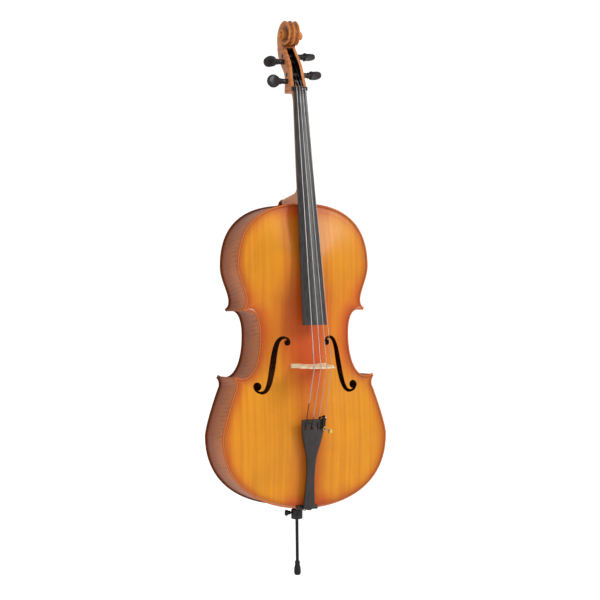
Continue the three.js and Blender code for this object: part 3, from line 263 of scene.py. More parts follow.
def carved_plate(name, edge, holes, front, arch, materials, replaced):
    """A carved plate: rings of points follow its edge, a grid fills the middle, and holes go right through."""
    rings = [outline(step) for step in RIM_STEPS]
    x, z = np.meshgrid(np.arange(-218, 219, 5.0), np.arange(3, BODY_LENGTH, 5.0))
    grid = np.column_stack([x.ravel(), z.ravel()])
    depth = distance_to(grid, EDGE)
    grid = grid[inside(grid, EDGE) & (depth > 22)]
    flat, faces = cut_sheet([edge] + holes, np.vstack(rings[1:] + [grid]))
    rim = distance_to(flat, EDGE)
    rim[~inside(flat, EDGE) & (rim > 0.3)] = 3.2
    outer = plate_rise(flat, rim, arch)
    inner = under_plate(flat, rim, arch)
    side = -1 if front else 1
    in_hole = np.zeros(len(flat), bool)
    for hole in holes:
        in_hole |= distance_to(flat, hole) < 0.05
    return thick_sheet(name, flat, faces, side * (RIB_HALF + outer), side * (RIB_HALF + inner), in_hole,
                       materials=materials, marks={"rim": np.concatenate([rim, rim])}, corner=50,
                       replaced=replaced)


# The treble f-hole: the middle line of its stem, and its half width where each curve ends.
F_LINE = [(47.8, 58), (48, 66), (54, 69.5), (62, 69.5), (80, 69.5), (83.5, 31), (89, 0),
          (94.5, -31), (100, -65), (117.5, -65), (127, -65), (136.5, -59), (136.5, -49)]
F_HALF_WIDTHS = [1.7, 2.8, 7.8, 3, 1.7]


def f_hole(side):
    middle = bezier(F_LINE, 14)
    half = []
    for place in np.linspace(0, 4 - 1e-9, len(middle)):
        first, last = F_HALF_WIDTHS[int(place)], F_HALF_WIDTHS[int(place) + 1]
        share = place % 1
        half.append(mix(first, last, math.sqrt(share) if last > first else 1 - math.sqrt(1 - share)))
    half = np.convolve(np.pad(half, 3, mode="edge"), np.ones(7) / 7, mode="valid")
    stem = np.vstack([inset_by(middle, half), inset_by(middle, -half)[::-1]])
    turn = np.linspace(0, 2 * np.pi, 29)[:-1]
    ring = np.column_stack([np.cos(turn), np.sin(turn)])
    cuts = [stem, ring * 7.4 + (53, 57), ring * 10.4 + (128.5, -49.5)]
    for way in (-1, 1):  # the nicks that mark the bridge's place
        cuts.append(np.array([(89 + way * 5.5, 2.4), (89 + way * 5.5, -2.4), (89 + way * 8.8, 0)]))
    return [cut * (side, 1) + (0, BRIDGE_LINE) for cut in cuts]


def inset_by(points, distances):
    along = np.gradient(points, axis=0)
    along /= np.linalg.norm(along, axis=1)[:, None]
    return points + distances[:, None] * np.column_stack([-along[:, 1], along[:, 0]])


def tone(red, green, blue):
    """A display colour as the linear one that a shader takes."""
    parts = (c / 255 / 12.92 if c <= 10 else ((c / 255 + 0.055) / 1.055)**2.4 for c in (red, green, blue))
    return tuple(parts) + (1,)


class Tree:
    """Short ways to place and link shader nodes."""

    def __init__(self, tree):
        self.tree = tree

    def add(self, kind, inputs=None, **settings):
        node = self.tree.nodes.new(kind)
        for key, value in settings.items():
            setattr(node, key, value)
        for key, value in (inputs or {}).items():
            socket = node.inputs[key]
            if isinstance(value, bpy.types.NodeSocket):
                self.tree.links.new(value, socket)
            else:
                socket.default_value = value
        return node

    def math(self, operation, a, b=0.0, clamp=False):
        node = self.add("ShaderNodeMath", {0: a, 1: b}, operation=operation, use_clamp=clamp)
        return node.outputs[0]

    def between(self, value, low, high, to_low=0.0, to_high=1.0):
        inputs = {"Value": value, "From Min": low, "From Max": high, "To Min": to_low, "To Max": to_high}
        return self.add("ShaderNodeMapRange", inputs, interpolation_type="SMOOTHSTEP").outputs[0]

    def blend(self, share, a, b, how="MIX"):
        node = self.add("ShaderNodeMix", data_type="RGBA", blend_type=how)
        for index, value in ((0, share), (6, a), (7, b)):
            if isinstance(value, bpy.types.NodeSocket):
                self.tree.links.new(value, node.inputs[index])
            else:
                node.inputs[index].default_value = value
        return node.outputs[2]

    def stretched(self, vector, scale):
        return self.add("ShaderNodeVectorMath", {0: vector, 1: scale}, operation="MULTIPLY").outputs[0]

    def noise(self, vector, scale, detail=3.0, rough=0.55):
        inputs = {"Vector": self.stretched(vector, scale), "Scale": 1.0, "Detail": detail, "Roughness": rough}
        return self.add("ShaderNodeTexNoise", inputs).outputs["Fac"]

    def mark(self, name, vector=False):
        return self.add("ShaderNodeAttribute", attribute_name=name).outputs["Vector" if vector else "Fac"]


def finish(name, gloss, coat=0.0, metal=0.0, coat_rough=0.12, specular=0.5):
    """A new material with its shader, and the tree to build the rest in."""
    material = bpy.data.materials.new(name)
    material.use_nodes = True
    shader = material.node_tree.nodes["Principled BSDF"]
    shader.inputs["Roughness"].default_value = gloss
    shader.inputs["Metallic"].default_value = metal
    shader.inputs["Coat Weight"].default_value = coat
    shader.inputs["Coat Roughness"].default_value = coat_rough
    shader.inputs["Specular IOR Level"].default_value = specular
    return material, shader, Tree(material.node_tree)


def group(name, takes, gives):
    """An empty shared effect with named inputs and outputs."""
    made = bpy.data.node_groups.new(name, "ShaderNodeTree")
    for label, kind, value in takes:
        socket = made.interface.new_socket(name=label, in_out="INPUT", socket_type=kind)
        if value is not None:
            socket.default_value = value
    for label, kind in gives:
        made.interface.new_socket(name=label, in_out="OUTPUT", socket_type=kind)
    tree = Tree(made)
    return made, tree, tree.add("NodeGroupInput").outputs, tree.add("NodeGroupOutput").inputs


def varnish_wear():
    """Uneven varnish: cloudy thickness, and fine scratches and dust that change the gloss."""
    made, tree, given, out = group(
        "varnish_wear",
        [("Place", "NodeSocketVector", None), ("Cloud", "NodeSocketFloat", 0.1),
         ("Gloss", "NodeSocketFloat", 0.25)],
        [("Shade", "NodeSocketFloat"), ("Roughness", "NodeSocketFloat")])
    cloud = tree.noise(given["Place"], (9, 9, 9), 4)
    speck = tree.noise(given["Place"], (420, 420, 420), 2)
    wide = tree.between(cloud, 0.3, 0.7, -1, 1)
    tree.tree.links.new(tree.math("ADD", 1.0, tree.math("MULTIPLY", wide, given["Cloud"])), out["Shade"])
    rough = tree.math("ADD", given["Gloss"], tree.math("MULTIPLY", tree.math("SUBTRACT", cloud, 0.5), 0.12))
    rough = tree.math("ADD", rough, tree.math("MULTIPLY", tree.math("SUBTRACT", speck, 0.5), 0.1))
    tree.tree.links.new(rough, out["Roughness"])
    return made


def year_rings():
    """Straight grain, seen on the quarter: fine lines along the wood with wider, slower bands between them."""
    made, tree, given, out = group(
        "year_rings",
        [("Across", "NodeSocketFloat", 0.0), ("Along", "NodeSocketFloat", 0.0),
         ("Spacing", "NodeSocketFloat", 0.0016)],
        [("Line", "NodeSocketFloat"), ("Band", "NodeSocketFloat")])
    wander = tree.add("ShaderNodeCombineXYZ", {0: given["Across"], 2: given["Along"]}).outputs[0]
    drift = tree.math("MULTIPLY", tree.math("SUBTRACT", tree.noise(wander, (6, 6, 2.2), 2), 0.5), 0.012)
    across = tree.math("ADD", given["Across"], drift)
    turns = tree.math("MULTIPLY", tree.math("DIVIDE", across, given["Spacing"]), 2 * math.pi)
    line = tree.math("MULTIPLY", tree.math("ADD", tree.math("SINE", turns), 1.0), 0.5)
    tree.tree.links.new(tree.math("POWER", line, 3.0), out["Line"])
    place = tree.add("ShaderNodeCombineXYZ", {0: across, 2: given["Along"]}).outputs[0]
    tree.tree.links.new(tree.noise(place, (130, 1, 1.6), 4, 0.65), out["Band"])
    return made


VARNISH_WEAR = varnish_wear()
YEAR_RINGS = year_rings()


def spruce_finish():
    material, shader, tree = finish("front_spruce", 0.36, coat=0.12, coat_rough=0.3, specular=0.25)
    place = tree.add("ShaderNodeTexCoord").outputs["Object"]
    parts = tree.add("ShaderNodeSeparateXYZ", {0: place}).outputs
    rim = tree.mark("rim")
    rings = tree.add("ShaderNodeGroup", node_tree=YEAR_RINGS)
    tree.tree.links.new(parts["X"], rings.inputs["Across"])
    tree.tree.links.new(parts["Z"], rings.inputs["Along"])
    away = tree.math("ABSOLUTE", parts["X"])
    centre = tree.between(away, 0.015, 0.085, 1, 0)
    waist = tree.between(tree.math("ABSOLUTE", tree.math("SUBTRACT", parts["Z"], 0.615)), 0.03, 0.2, 1, 0)
    edge = tree.between(rim, 8, 46, 1, 0)
    streak = tree.math("SUBTRACT", tree.noise(place, (26, 26, 1.6), 3), 0.5)
    cloud = tree.math("SUBTRACT", tree.noise(place, (8, 8, 3), 3), 0.5)
    red = tree.math("ADD", tree.math("MULTIPLY", centre, 0.72), tree.math("MULTIPLY", waist, 0.44))
    red = tree.math("ADD", red, tree.math("MULTIPLY", edge, 0.42))
    uneven = tree.math("ADD", tree.math("MULTIPLY", cloud, 0.6), tree.math("MULTIPLY", streak, 0.75))
    red = tree.math("ADD", red, uneven)
    colour = tree.blend(tree.between(red, 0.0, 1.15), tone(236, 154, 26), tone(206, 84, 26))
    colour = tree.blend(tree.between(rings.outputs["Band"], 0.35, 0.75, 0, 0.34), colour, tone(188, 84, 16))
    colour = tree.blend(tree.between(rings.outputs["Line"], 0, 1, 0, 0.1), colour, tone(150, 60, 12))
    colour = tree.blend(tree.between(rim, 2, 22, 0.55, 0), colour, tone(170, 60, 16))
    bead = tree.between(rim, 2.6, 4.2, 1, 0)
    colour = tree.blend(tree.math("MULTIPLY", bead, 0.6), colour, tone(226, 116, 48))
    outer = tree.between(rim, 0.1, 1.2, 1, 0)
    colour = tree.blend(tree.math("MULTIPLY", outer, 0.5), colour, tone(120, 40, 10))
    worn = tree.add("ShaderNodeGroup", {"Place": place, "Cloud": 0.06, "Gloss": 0.36}, node_tree=VARNISH_WEAR)
    colour = tree.blend(1.0, colour, worn.outputs["Shade"], "MULTIPLY")
    tree.tree.links.new(colour, shader.inputs["Base Color"])
    tree.tree.links.new(worn.outputs["Roughness"], shader.inputs["Roughness"])
    height = tree.math("ADD", tree.math("MULTIPLY", rings.outputs["Line"], 0.6), rings.outputs["Band"])
    bump = tree.add("ShaderNodeBump", {"Height": height, "Strength": 0.1, "Distance": 0.0006})
    tree.tree.links.new(bump.outputs[0], shader.inputs["Normal"])
    return material


def cut_wood_finish():
    material, shader, tree = finish("f_hole_edge", 0.6)
    place = tree.add("ShaderNodeTexCoord").outputs["Object"]
    colour = tree.blend(tree.noise(place, (60, 400, 60), 3), tone(38, 16, 8), tone(78, 34, 14))
    tree.tree.links.new(colour, shader.inputs["Base Color"])
    return material


FRONT_SPRUCE = spruce_finish()
F_HOLE_EDGE = cut_wood_finish()
front = carved_plate("front", EDGE, f_hole(1) + f_hole(-1), True, FRONT_ARCH,
                     [FRONT_SPRUCE, F_HOLE_EDGE], ("front_plate",))

# ---- Back plate --------------------------------------------------------------------------------------------
# Two pieces of flamed maple, matched like an open book, carved like the front but with no holes. Its small
# round button stands out at the top, where the neck's heel is glued to it.


def edge_with_button():
    radius = 15
    turn = np.linspace(0, np.pi, 22)
    arc = np.column_stack([radius * np.cos(turn), BODY_LENGTH + 1 + radius * np.sin(turn)])
    right = half_outline(0)
    right = right[right[:, 0] > radius + 0.5]
    right = np.vstack([[(0, 0)], right[right[:, 1] < BODY_LENGTH + 1]])
    keep = right[:-1] if right[-1, 1] > BODY_LENGTH - 0.1 else right
    left = keep[1:] * (-1, 1)
    return np.vstack([keep, arc, left[::-1]])


def flame():
    """Figure in maple: soft stripes across the grain, broken and leaning, that shift from light to dark."""
    made, tree, given, out = group(
        "flame",
        [("Place", "NodeSocketVector", None), ("Along", "NodeSocketFloat", 0.0),
         ("Width", "NodeSocketFloat", 0.009)],
        [("Stripe", "NodeSocketFloat")])
    sway = tree.math("SUBTRACT", tree.noise(given["Place"], (12, 12, 12), 2), 0.5)
    sway = tree.math("MULTIPLY", sway, 0.02)
    bent = tree.math("ADD", given["Along"], sway)
    turns = tree.math("MULTIPLY", tree.math("DIVIDE", bent, given["Width"]), 2 * math.pi)
    wave = tree.math("MULTIPLY", tree.math("ADD", tree.math("SINE", turns), 1.0), 0.5)
    broken = tree.between(tree.noise(given["Place"], (15, 15, 30), 3), 0.42, 0.66, 0.08, 1)
    tree.tree.links.new(tree.math("MULTIPLY", wave, broken), out["Stripe"])
    return made


FLAME = flame()


def maple_finish(name, light, dark, stripe, edge_mark=False, rib_grain_and_painted_shade=False, width=0.009, gloss=0.28,
                 lean=0.0, recess=False, figure=0.6):
    material, shader, tree = finish(name, gloss, coat=0.12, coat_rough=0.25, specular=0.25)
    place = tree.add("ShaderNodeTexCoord").outputs["Object"]
    parts = tree.add("ShaderNodeSeparateXYZ", {0: place}).outputs
    along = tree.math("MULTIPLY", tree.mark("along"), MM) if rib_grain_and_painted_shade else parts["Z"]
    across = parts["Y"] if rib_grain_and_painted_shade else tree.math("ABSOLUTE", parts["X"])
    if lean:
        along = tree.math("ADD", along, tree.math("MULTIPLY", across, lean))
    stripes = tree.add("ShaderNodeGroup", {"Place": place, "Along": along, "Width": width}, node_tree=FLAME)
    grown = {"Across": across, "Along": along, "Spacing": 0.0034}
    rings = tree.add("ShaderNodeGroup", grown, node_tree=YEAR_RINGS)
    colour = tree.blend(tree.noise(place, (7, 7, 7), 3), light, dark)
    colour = tree.blend(tree.between(rings.outputs["Band"], 0.3, 0.75, 0, 0.35), colour, dark)
    colour = tree.blend(tree.math("MULTIPLY", stripes.outputs["Stripe"], figure), colour, stripe)
    if edge_mark:
        rim = tree.mark("rim")
        colour = tree.blend(tree.between(rim, 0.2, 40, 0.6, 0), colour, tone(92, 34, 14))
        colour = tree.blend(tree.between(rim, 0.2, 4.0, 0.6, 0), colour, tone(84, 22, 8))
    if rib_grain_and_painted_shade:
        # painted shade: the ribs darken towards the back plate, away from the lamps
        colour = tree.blend(tree.between(parts["Y"], -0.05, 0.062, 0, 0.75), colour, tone(126, 48, 16))
    # painted shade: the scroll's channels, wall feet and flutes are darkened where the recess mark is high
    if recess:
        colour = tree.blend(tree.math("MULTIPLY", tree.mark("recess"), 0.85), colour, tone(84, 28, 8))
    wear = {"Place": place, "Cloud": 0.08, "Gloss": gloss}
    worn = tree.add("ShaderNodeGroup", wear, node_tree=VARNISH_WEAR)
    colour = tree.blend(1.0, colour, worn.outputs["Shade"], "MULTIPLY")
    tree.tree.links.new(colour, shader.inputs["Base Color"])
    tree.tree.links.new(worn.outputs["Roughness"], shader.inputs["Roughness"])
    bump = tree.add("ShaderNodeBump", {"Height": rings.outputs["Band"], "Strength": 0.06, "Distance": 0.0005})
    tree.tree.links.new(bump.outputs[0], shader.inputs["Normal"])
    return material


BACK_MAPLE = maple_finish("back_maple", tone(196, 112, 52), tone(158, 78, 34), tone(118, 50, 20),
                          edge_mark=True, width=0.013, lean=0.25)
back = carved_plate("back", edge_with_button(), [], False, BACK_ARCH, [BACK_MAPLE], ("back_plate",))

# ---- Purfling ----------------------------------------------------------------------------------------------
# A thin sandwich of one plain strip of wood between two dyed ones, bent to the outline and glued in a groove
# just inside the edge of the front and of the back.


def purfling_finish():
    material, shader, tree = finish("purfling", 0.35, coat=0.3)
    place = tree.add("ShaderNodeTexCoord").outputs["Object"]
    layer = tree.mark("layer")
    dyed = tree.between(tree.math("ABSOLUTE", layer), 0.3, 0.5)
    colour = tree.blend(dyed, tone(150, 84, 34), tone(48, 18, 10))
    worn = tree.add("ShaderNodeGroup", {"Place": place, "Cloud": 0.15, "Gloss": 0.35}, node_tree=VARNISH_WEAR)
    colour = tree.blend(1.0, colour, worn.outputs["Shade"], "MULTIPLY")
    tree.tree.links.new(colour, shader.inputs["Base Color"])
    return material


PURFLING = purfling_finish()


def purfling(name, front, arch):
    """Five rows of points across the strip, paired between neighbouring inset outlines."""
    side = -1 if front else 1
    middle = outline(5.25)
    along = np.roll(middle, -1, axis=0) - np.roll(middle, 1, axis=0)
    along /= np.linalg.norm(along, axis=1)[:, None]
    inward = np.column_stack([-along[:, 1], along[:, 0]])
    rows, layers = [], []
    for offset, drop in ((-0.7, 1.2), (-0.7, 0), (-0.3, 0), (0.3, 0), (0.7, 0), (0.7, 1.2)):
        flat = middle + offset * inward
        rise = plate_rise(flat, np.full(len(flat), 5.25 + offset), arch) + 0.07 - drop
        rows.append(np.column_stack([flat[:, 0], side * (RIB_HALF + rise), flat[:, 1]]))
        layers.append(np.full(len(flat), offset))
    count, total = len(middle), len(rows)
    faces = []
    for i in range(count):
        for j in range(total):
            p, q = j * count + i, j * count + (i + 1) % count
            r, s = ((j + 1) % total) * count + (i + 1) % count, ((j + 1) % total) * count + i
            faces.append((p, q, r, s) if front else (s, r, q, p))
    made = make_piece(name, np.vstack(rows), faces, materials=[PURFLING],
                      marks={"layer": np.concatenate(layers)})
    return made


purfling("front_purfling", True, FRONT_ARCH)
purfling("back_purfling", False, BACK_ARCH)

# ---- Ribs --------------------------------------------------------------------------------------------------
# Six strips of flamed maple under 2 mm thick, bent with heat and glued round the blocks. Their stripes run
# from the front plate to the back one.

RIB_INSET, RIB_THICK = 4, 1.8
# Their colour also carries painted shade, darker towards the back plate.
RIB_MAPLE = maple_finish("rib_maple", tone(216, 130, 56), tone(190, 100, 40), tone(124, 54, 18),
                         rib_grain_and_painted_shade=True, width=0.011, gloss=0.4, lean=0.1, figure=0.5)


def rib(name, side, stretch, replaced):
    outer = inset(bezier(STRETCHES[stretch], 40), RIB_INSET)
    inner = inset(bezier(STRETCHES[stretch], 40), RIB_INSET + RIB_THICK)
    if stretch != 1:
        outer[0 if stretch == 0 else -1, 0] = inner[0 if stretch == 0 else -1, 0] = 0.1
    reach = np.concatenate([[0], np.cumsum(np.linalg.norm(np.diff(outer, axis=0), axis=1))])
    points, along, faces = [], [], []
    high = RIB_HALF - 0.02
    for path, y in ((outer, -high), (outer, high), (inner, high), (inner, -high)):
        points.append(np.column_stack([side * path[:, 0], np.full(len(path), y), path[:, 1]]))
        along.append(reach + 400 * stretch)
    count = len(outer)
    for i in range(count - 1):
        for j in range(4):
            p, q = j * count + i, j * count + i + 1
            r, s = ((j + 1) % 4) * count + i + 1, ((j + 1) % 4) * count + i
            faces.append((p, q, r, s))
    faces += [tuple(j * count for j in range(4)), tuple(j * count + count - 1 for j in (3, 2, 1, 0))]
    if side < 0:
        faces = [f[::-1] for f in faces]
    made = make_piece(name, np.vstack(points), faces, materials=[RIB_MAPLE], corner=40,
                      marks={"along": np.concatenate(along)}, replaced=(replaced,))
    return made


for label, side in (("bass", -1), ("treble", 1)):
    for stretch, part in enumerate(("lower", "waist", "upper")):
        rib(f"{part}_rib_of_{label}_side", side, stretch, f"{part}_rib_{label}")

# ---- Inside the body ---------------------------------------------------------------------------------------
# Bare spruce and willow that the varnish never reaches: the end and corner blocks, the linings that widen
# the glue joint along the ribs, the bass bar under the C string's side, and the sound post behind the
# treble foot.


def bare_wood_finish():
    material, shader, tree = finish("bare_wood", 0.7, specular=0.3)
    place = tree.add("ShaderNodeTexCoord").outputs["Object"]
    parts = tree.add("ShaderNodeSeparateXYZ", {0: place}).outputs
    rings = tree.add("ShaderNodeGroup", {"Across": parts["X"], "Along": parts["Z"]}, node_tree=YEAR_RINGS)
    band = tree.between(rings.outputs["Band"], 0.3, 0.7)
    colour = tree.blend(band, tone(226, 196, 146), tone(196, 152, 98))
    colour = tree.blend(tree.between(rings.outputs["Line"], 0, 1, 0, 0.4), colour, tone(160, 112, 62))
    tree.tree.links.new(colour, shader.inputs["Base Color"])
    bump = tree.add("ShaderNodeBump", {"Height": rings.outputs["Line"], "Strength": 0.2, "Distance": 0.0003})
    tree.tree.links.new(bump.outputs[0], shader.inputs["Normal"])
    return material


BARE_WOOD = bare_wood_finish()
for name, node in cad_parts.items():
    if "block" in name or "lining" in name or name in ("bass_bar", "sound_post"):
        node.data.materials.clear()
        node.data.materials.append(BARE_WOOD)

# ---- Neck --------------------------------------------------------------------------------------------------
# One block of maple with the pegbox and scroll: a rounded handle that sweeps out into a deep heel. The heel
# is let into the top block and glued to the back's button.

FRONT_EDGE = -RIB_HALF - EDGE_THICK
NECK_MAPLE = maple_finish("neck_maple", tone(236, 158, 96), tone(204, 118, 62), tone(160, 78, 34), width=0.012,
                          gloss=0.3, lean=0.3)


def board_under(z):
    return FRONT_EDGE - 20.8 - 0.1295 * (BODY_LENGTH - z)


def curve_through(knots, count):
    """Points along a smooth curve through knots of any width (Catmull-Rom)."""
    knots = np.asarray(knots, float)
    padded = np.vstack([2 * knots[0] - knots[1], knots, 2 * knots[-1] - knots[-2]])
    found = []
    for place in np.linspace(0, len(knots) - 1 - 1e-9, count):
        i = int(place)
        t = place - i
        a, b, c, d = padded[i:i + 4]
        square, cube = 2 * a - 5 * b + 4 * c - d, 3 * b - a - 3 * c + d
        found.append(0.5 * (2 * b + (c - a) * t + square * t**2 + cube * t**3))
    return np.array(found)


def skin(rings, closed=True, caps=True):
    """Faces that join rings of equal count into one surface, numbered ring by ring."""
    count = len(rings[0])
    faces = []
    for i in range(len(rings) - 1):
        for j in range(count if closed else count - 1):
            k = (j + 1) % count
            faces.append((i * count + j, i * count + k, (i + 1) * count + k, (i + 1) * count + j))
    if caps:
        faces.append(tuple(range(count - 1, -1, -1)))
        faces.append(tuple(range((len(rings) - 1) * count, len(rings) * count)))
    return faces


def lofted(name, rings, flip=False, **more):
    faces = skin(rings)
    if flip:
        faces = [f[::-1] for f in faces]
    return make_piece(name, np.vstack(rings), faces, **more)


# Level, how far back it reaches, half width in front and behind, and how square the back is.
NECK_STATIONS = [
    (751.4, 58.6, 23, 13.9, 4.2), (762, 58.6, 23, 13.9, 4.2), (766, 56, 23, 14, 4),
    (769.5, 47, 23, 14.6, 3.6), (773, 24, 23, 16, 3.2), (777, -8, 22.9, 17, 2.9),
    (781, -38, 22.8, 18, 2.7), (787, -53.5, 22.5, 19, 2.5),
    (797, -55.5, 22, 19.3, 2.35), (815, -53.3, 21.9, 19.5, 2.25), (855, -48.7, 21.1, 19, 2.2),
    (915, -41.7, 19.6, 17.7, 2.2), (975, -34.8, 18.1, 16.3, 2.2), (1000, -31.9, 17.5, 15.8, 2.2),
    (1010, -30, 17.2, 15.6, 2.2), (1018, -26.4, 17, 15.6, 2.3), (1025, -21.6, 16.8, 15.6, 2.4),
    (1034, -18.6, 16.6, 15.6, 2.5)]


def neck_ring(z, back, front_half, back_half, power):
    front = board_under(z) + 0.35
    ring = [(-front_half * s, front, z) for s in (1, 0.5, 0, -0.5, -1)]
    for angle in np.linspace(0, math.pi, 40)[1:-1]:
        depth = math.sin(angle)**(2 / power)
        width = math.copysign(abs(math.cos(angle))**(2 / power), math.cos(angle))
        ring.append((width * mix(front_half, back_half, depth), mix(front, back, depth), z))
    return ring


stations = curve_through(NECK_STATIONS, 110)
stations[:, 1] = np.minimum(stations[:, 1], 58.6)
lofted("neck", [neck_ring(*row) for row in stations], materials=[NECK_MAPLE], corner=40)

# ---- Pegbox ------------------------------------------------------------------------------------------------
# The open trough above the nut: two cheeks, a back with two gouged flutes, and a dark-stained inside where
# the strings wind round the pegs.

NUT_LEVEL = 1035
CHEEK_FRONT = [(-46, -3.5), (-46.04, 10), (-36, 35), (-28, 60), (-17, 78), (3, 102), (12, 112), (24, 124)]
CHEEK_BACK = [(-1.8, -3.9), (-1.5, 9), (-3, 30), (7, 50), (24, 67), (42, 87), (49, 100), (53, 118)]
CHEEK_WALL = 8


def pegbox_half(up):
    return 21 * mix(1, 17 / 21, ease(np.asarray(up, float), 0, 110))


def pegbox_ring(front, back, hollow, flute, lip):
    """A trough's section: down the left cheek, across the fluted back, up the right cheek, then the inside."""
    front, back = np.array(front), np.array(back)
    deep = front - back
    at_front, at_back = pegbox_half(front[1]), pegbox_half(back[1])
    ring = []

    def put(x, share, out=0.0):
        y, z = back + deep * share + out * deep / max(np.linalg.norm(deep), 1e-6)
        ring.append((x, y, z))

    for share, trim in ((1, 1.6), (0.985, 0.6), (0.96, 0), (0.75, 0), (0.5, 0), (0.25, 0), (0.06, 0)):
        put(-mix(at_back, at_front, share) + trim, share)
    put(-at_back + 0.3, 0, 0.9)
    for x in np.linspace(-1, 1, 25):
        put(x * (at_back - 1.5), 0, flute * (1 - (2 * abs(x) - 1)**2))
    put(at_back - 0.3, 0, 0.9)
    for share, trim in ((0.06, 0), (0.25, 0), (0.5, 0), (0.75, 0), (0.96, 0), (0.985, 0.6), (1, 1.6)):
        put(mix(at_back, at_front, share) - trim, share)
    inner = CHEEK_WALL
    floor = 1 - hollow
    put(mix(at_back, at_front, 1) - inner + lip, 1)
    for share in (0.97, 0.7, 0.4, 0.1, 0):
        level = mix(floor, 1, share)
        put(mix(at_back, at_front, level) - inner, level)
    for x in (0.6, 0.2, -0.2, -0.6):
        put(x * (mix(at_back, at_front, floor) - inner), floor)
    for share in (0, 0.1, 0.4, 0.7, 0.97):
        level = mix(floor, 1, share)
        put(-mix(at_back, at_front, level) + inner, level)
    put(-mix(at_back, at_front, 1) + inner - lip, 1)
    return ring


def pegbox_inside_finish():
    material, shader, tree = finish("pegbox_inside", 0.7, specular=0.2)
    place = tree.add("ShaderNodeTexCoord").outputs["Object"]
    colour = tree.blend(tree.noise(place, (50, 50, 160), 3), tone(12, 7, 5), tone(30, 14, 8))
    tree.tree.links.new(colour, shader.inputs["Base Color"])
    return material


PEGBOX_INSIDE = pegbox_inside_finish()


def pegbox():
    front = curve_through(CHEEK_FRONT, 121)
    back = curve_through(CHEEK_BACK, 121)
    back[:, 0] = np.maximum(back[:, 0], -21)
    rings = []
    for i, share in enumerate(np.linspace(0, 1, 121)):
        hollow = 0.72 * float(ease(share, 0.165, 0.19)) * (1 - 0.97 * float(ease(share, 0.7, 0.9))) + 0.004
        flute = 2.6 * float(ease(share, 0.06, 0.2))
        rings.append(pegbox_ring(front[i], back[i], hollow, flute, 0.0))
    count = len(rings[0])
    points = np.vstack(rings) + (0, 0, NUT_LEVEL)
    faces = skin(rings)
    slots = []
    for face in faces:
        inside_face = len(face) == 4 and all(42 <= v % count <= count - 1 for v in face)
        slots.append(1 if inside_face and 0.15 < face[0] / count / 121 < 0.88 else 0)
    made = make_piece("pegbox", points, faces, materials=[NECK_MAPLE, PEGBOX_INSIDE], slots=slots, corner=38)
    return made


pegbox()

# ---- Scroll ------------------------------------------------------------------------------------------------
# The volute at the end of the head: a fluted band winds in towards a round eye on each side, each turn
# standing further out than the one before, with a chamfer along every edge.
# Painted shade darkens its channels, the foot of each wall and the bottoms of the flutes.

EYE_PLACE = (7.0, 143.0)
TURN = 72  # steps in a full turn
LAST = int(TURN * 1.95)
HALF_WIDTHS = [(-0.3, 17.0), (-0.1, 16.9), (0, 16.6), (0.25, 14.8), (0.5, 15.2), (0.75, 17.5), (1.0, 20.5),
               (1.25, 24.0), (1.5, 27.0), (1.75, 29.6), (2.0, 31.0)]
CHANNEL_PAINTED_SHADE = (0, 0.15, 0.4, 0.7, 0.9, 1)  # how far painted shade darkens each row of the channel, most at the inner wall's foot


def turn_radius(turns):
    return 47 * 0.8**(4 * turns)


def turn_half(turns):
    return float(np.interp(turns, [t for t, _ in HALF_WIDTHS], [w for _, w in HALF_WIDTHS]))


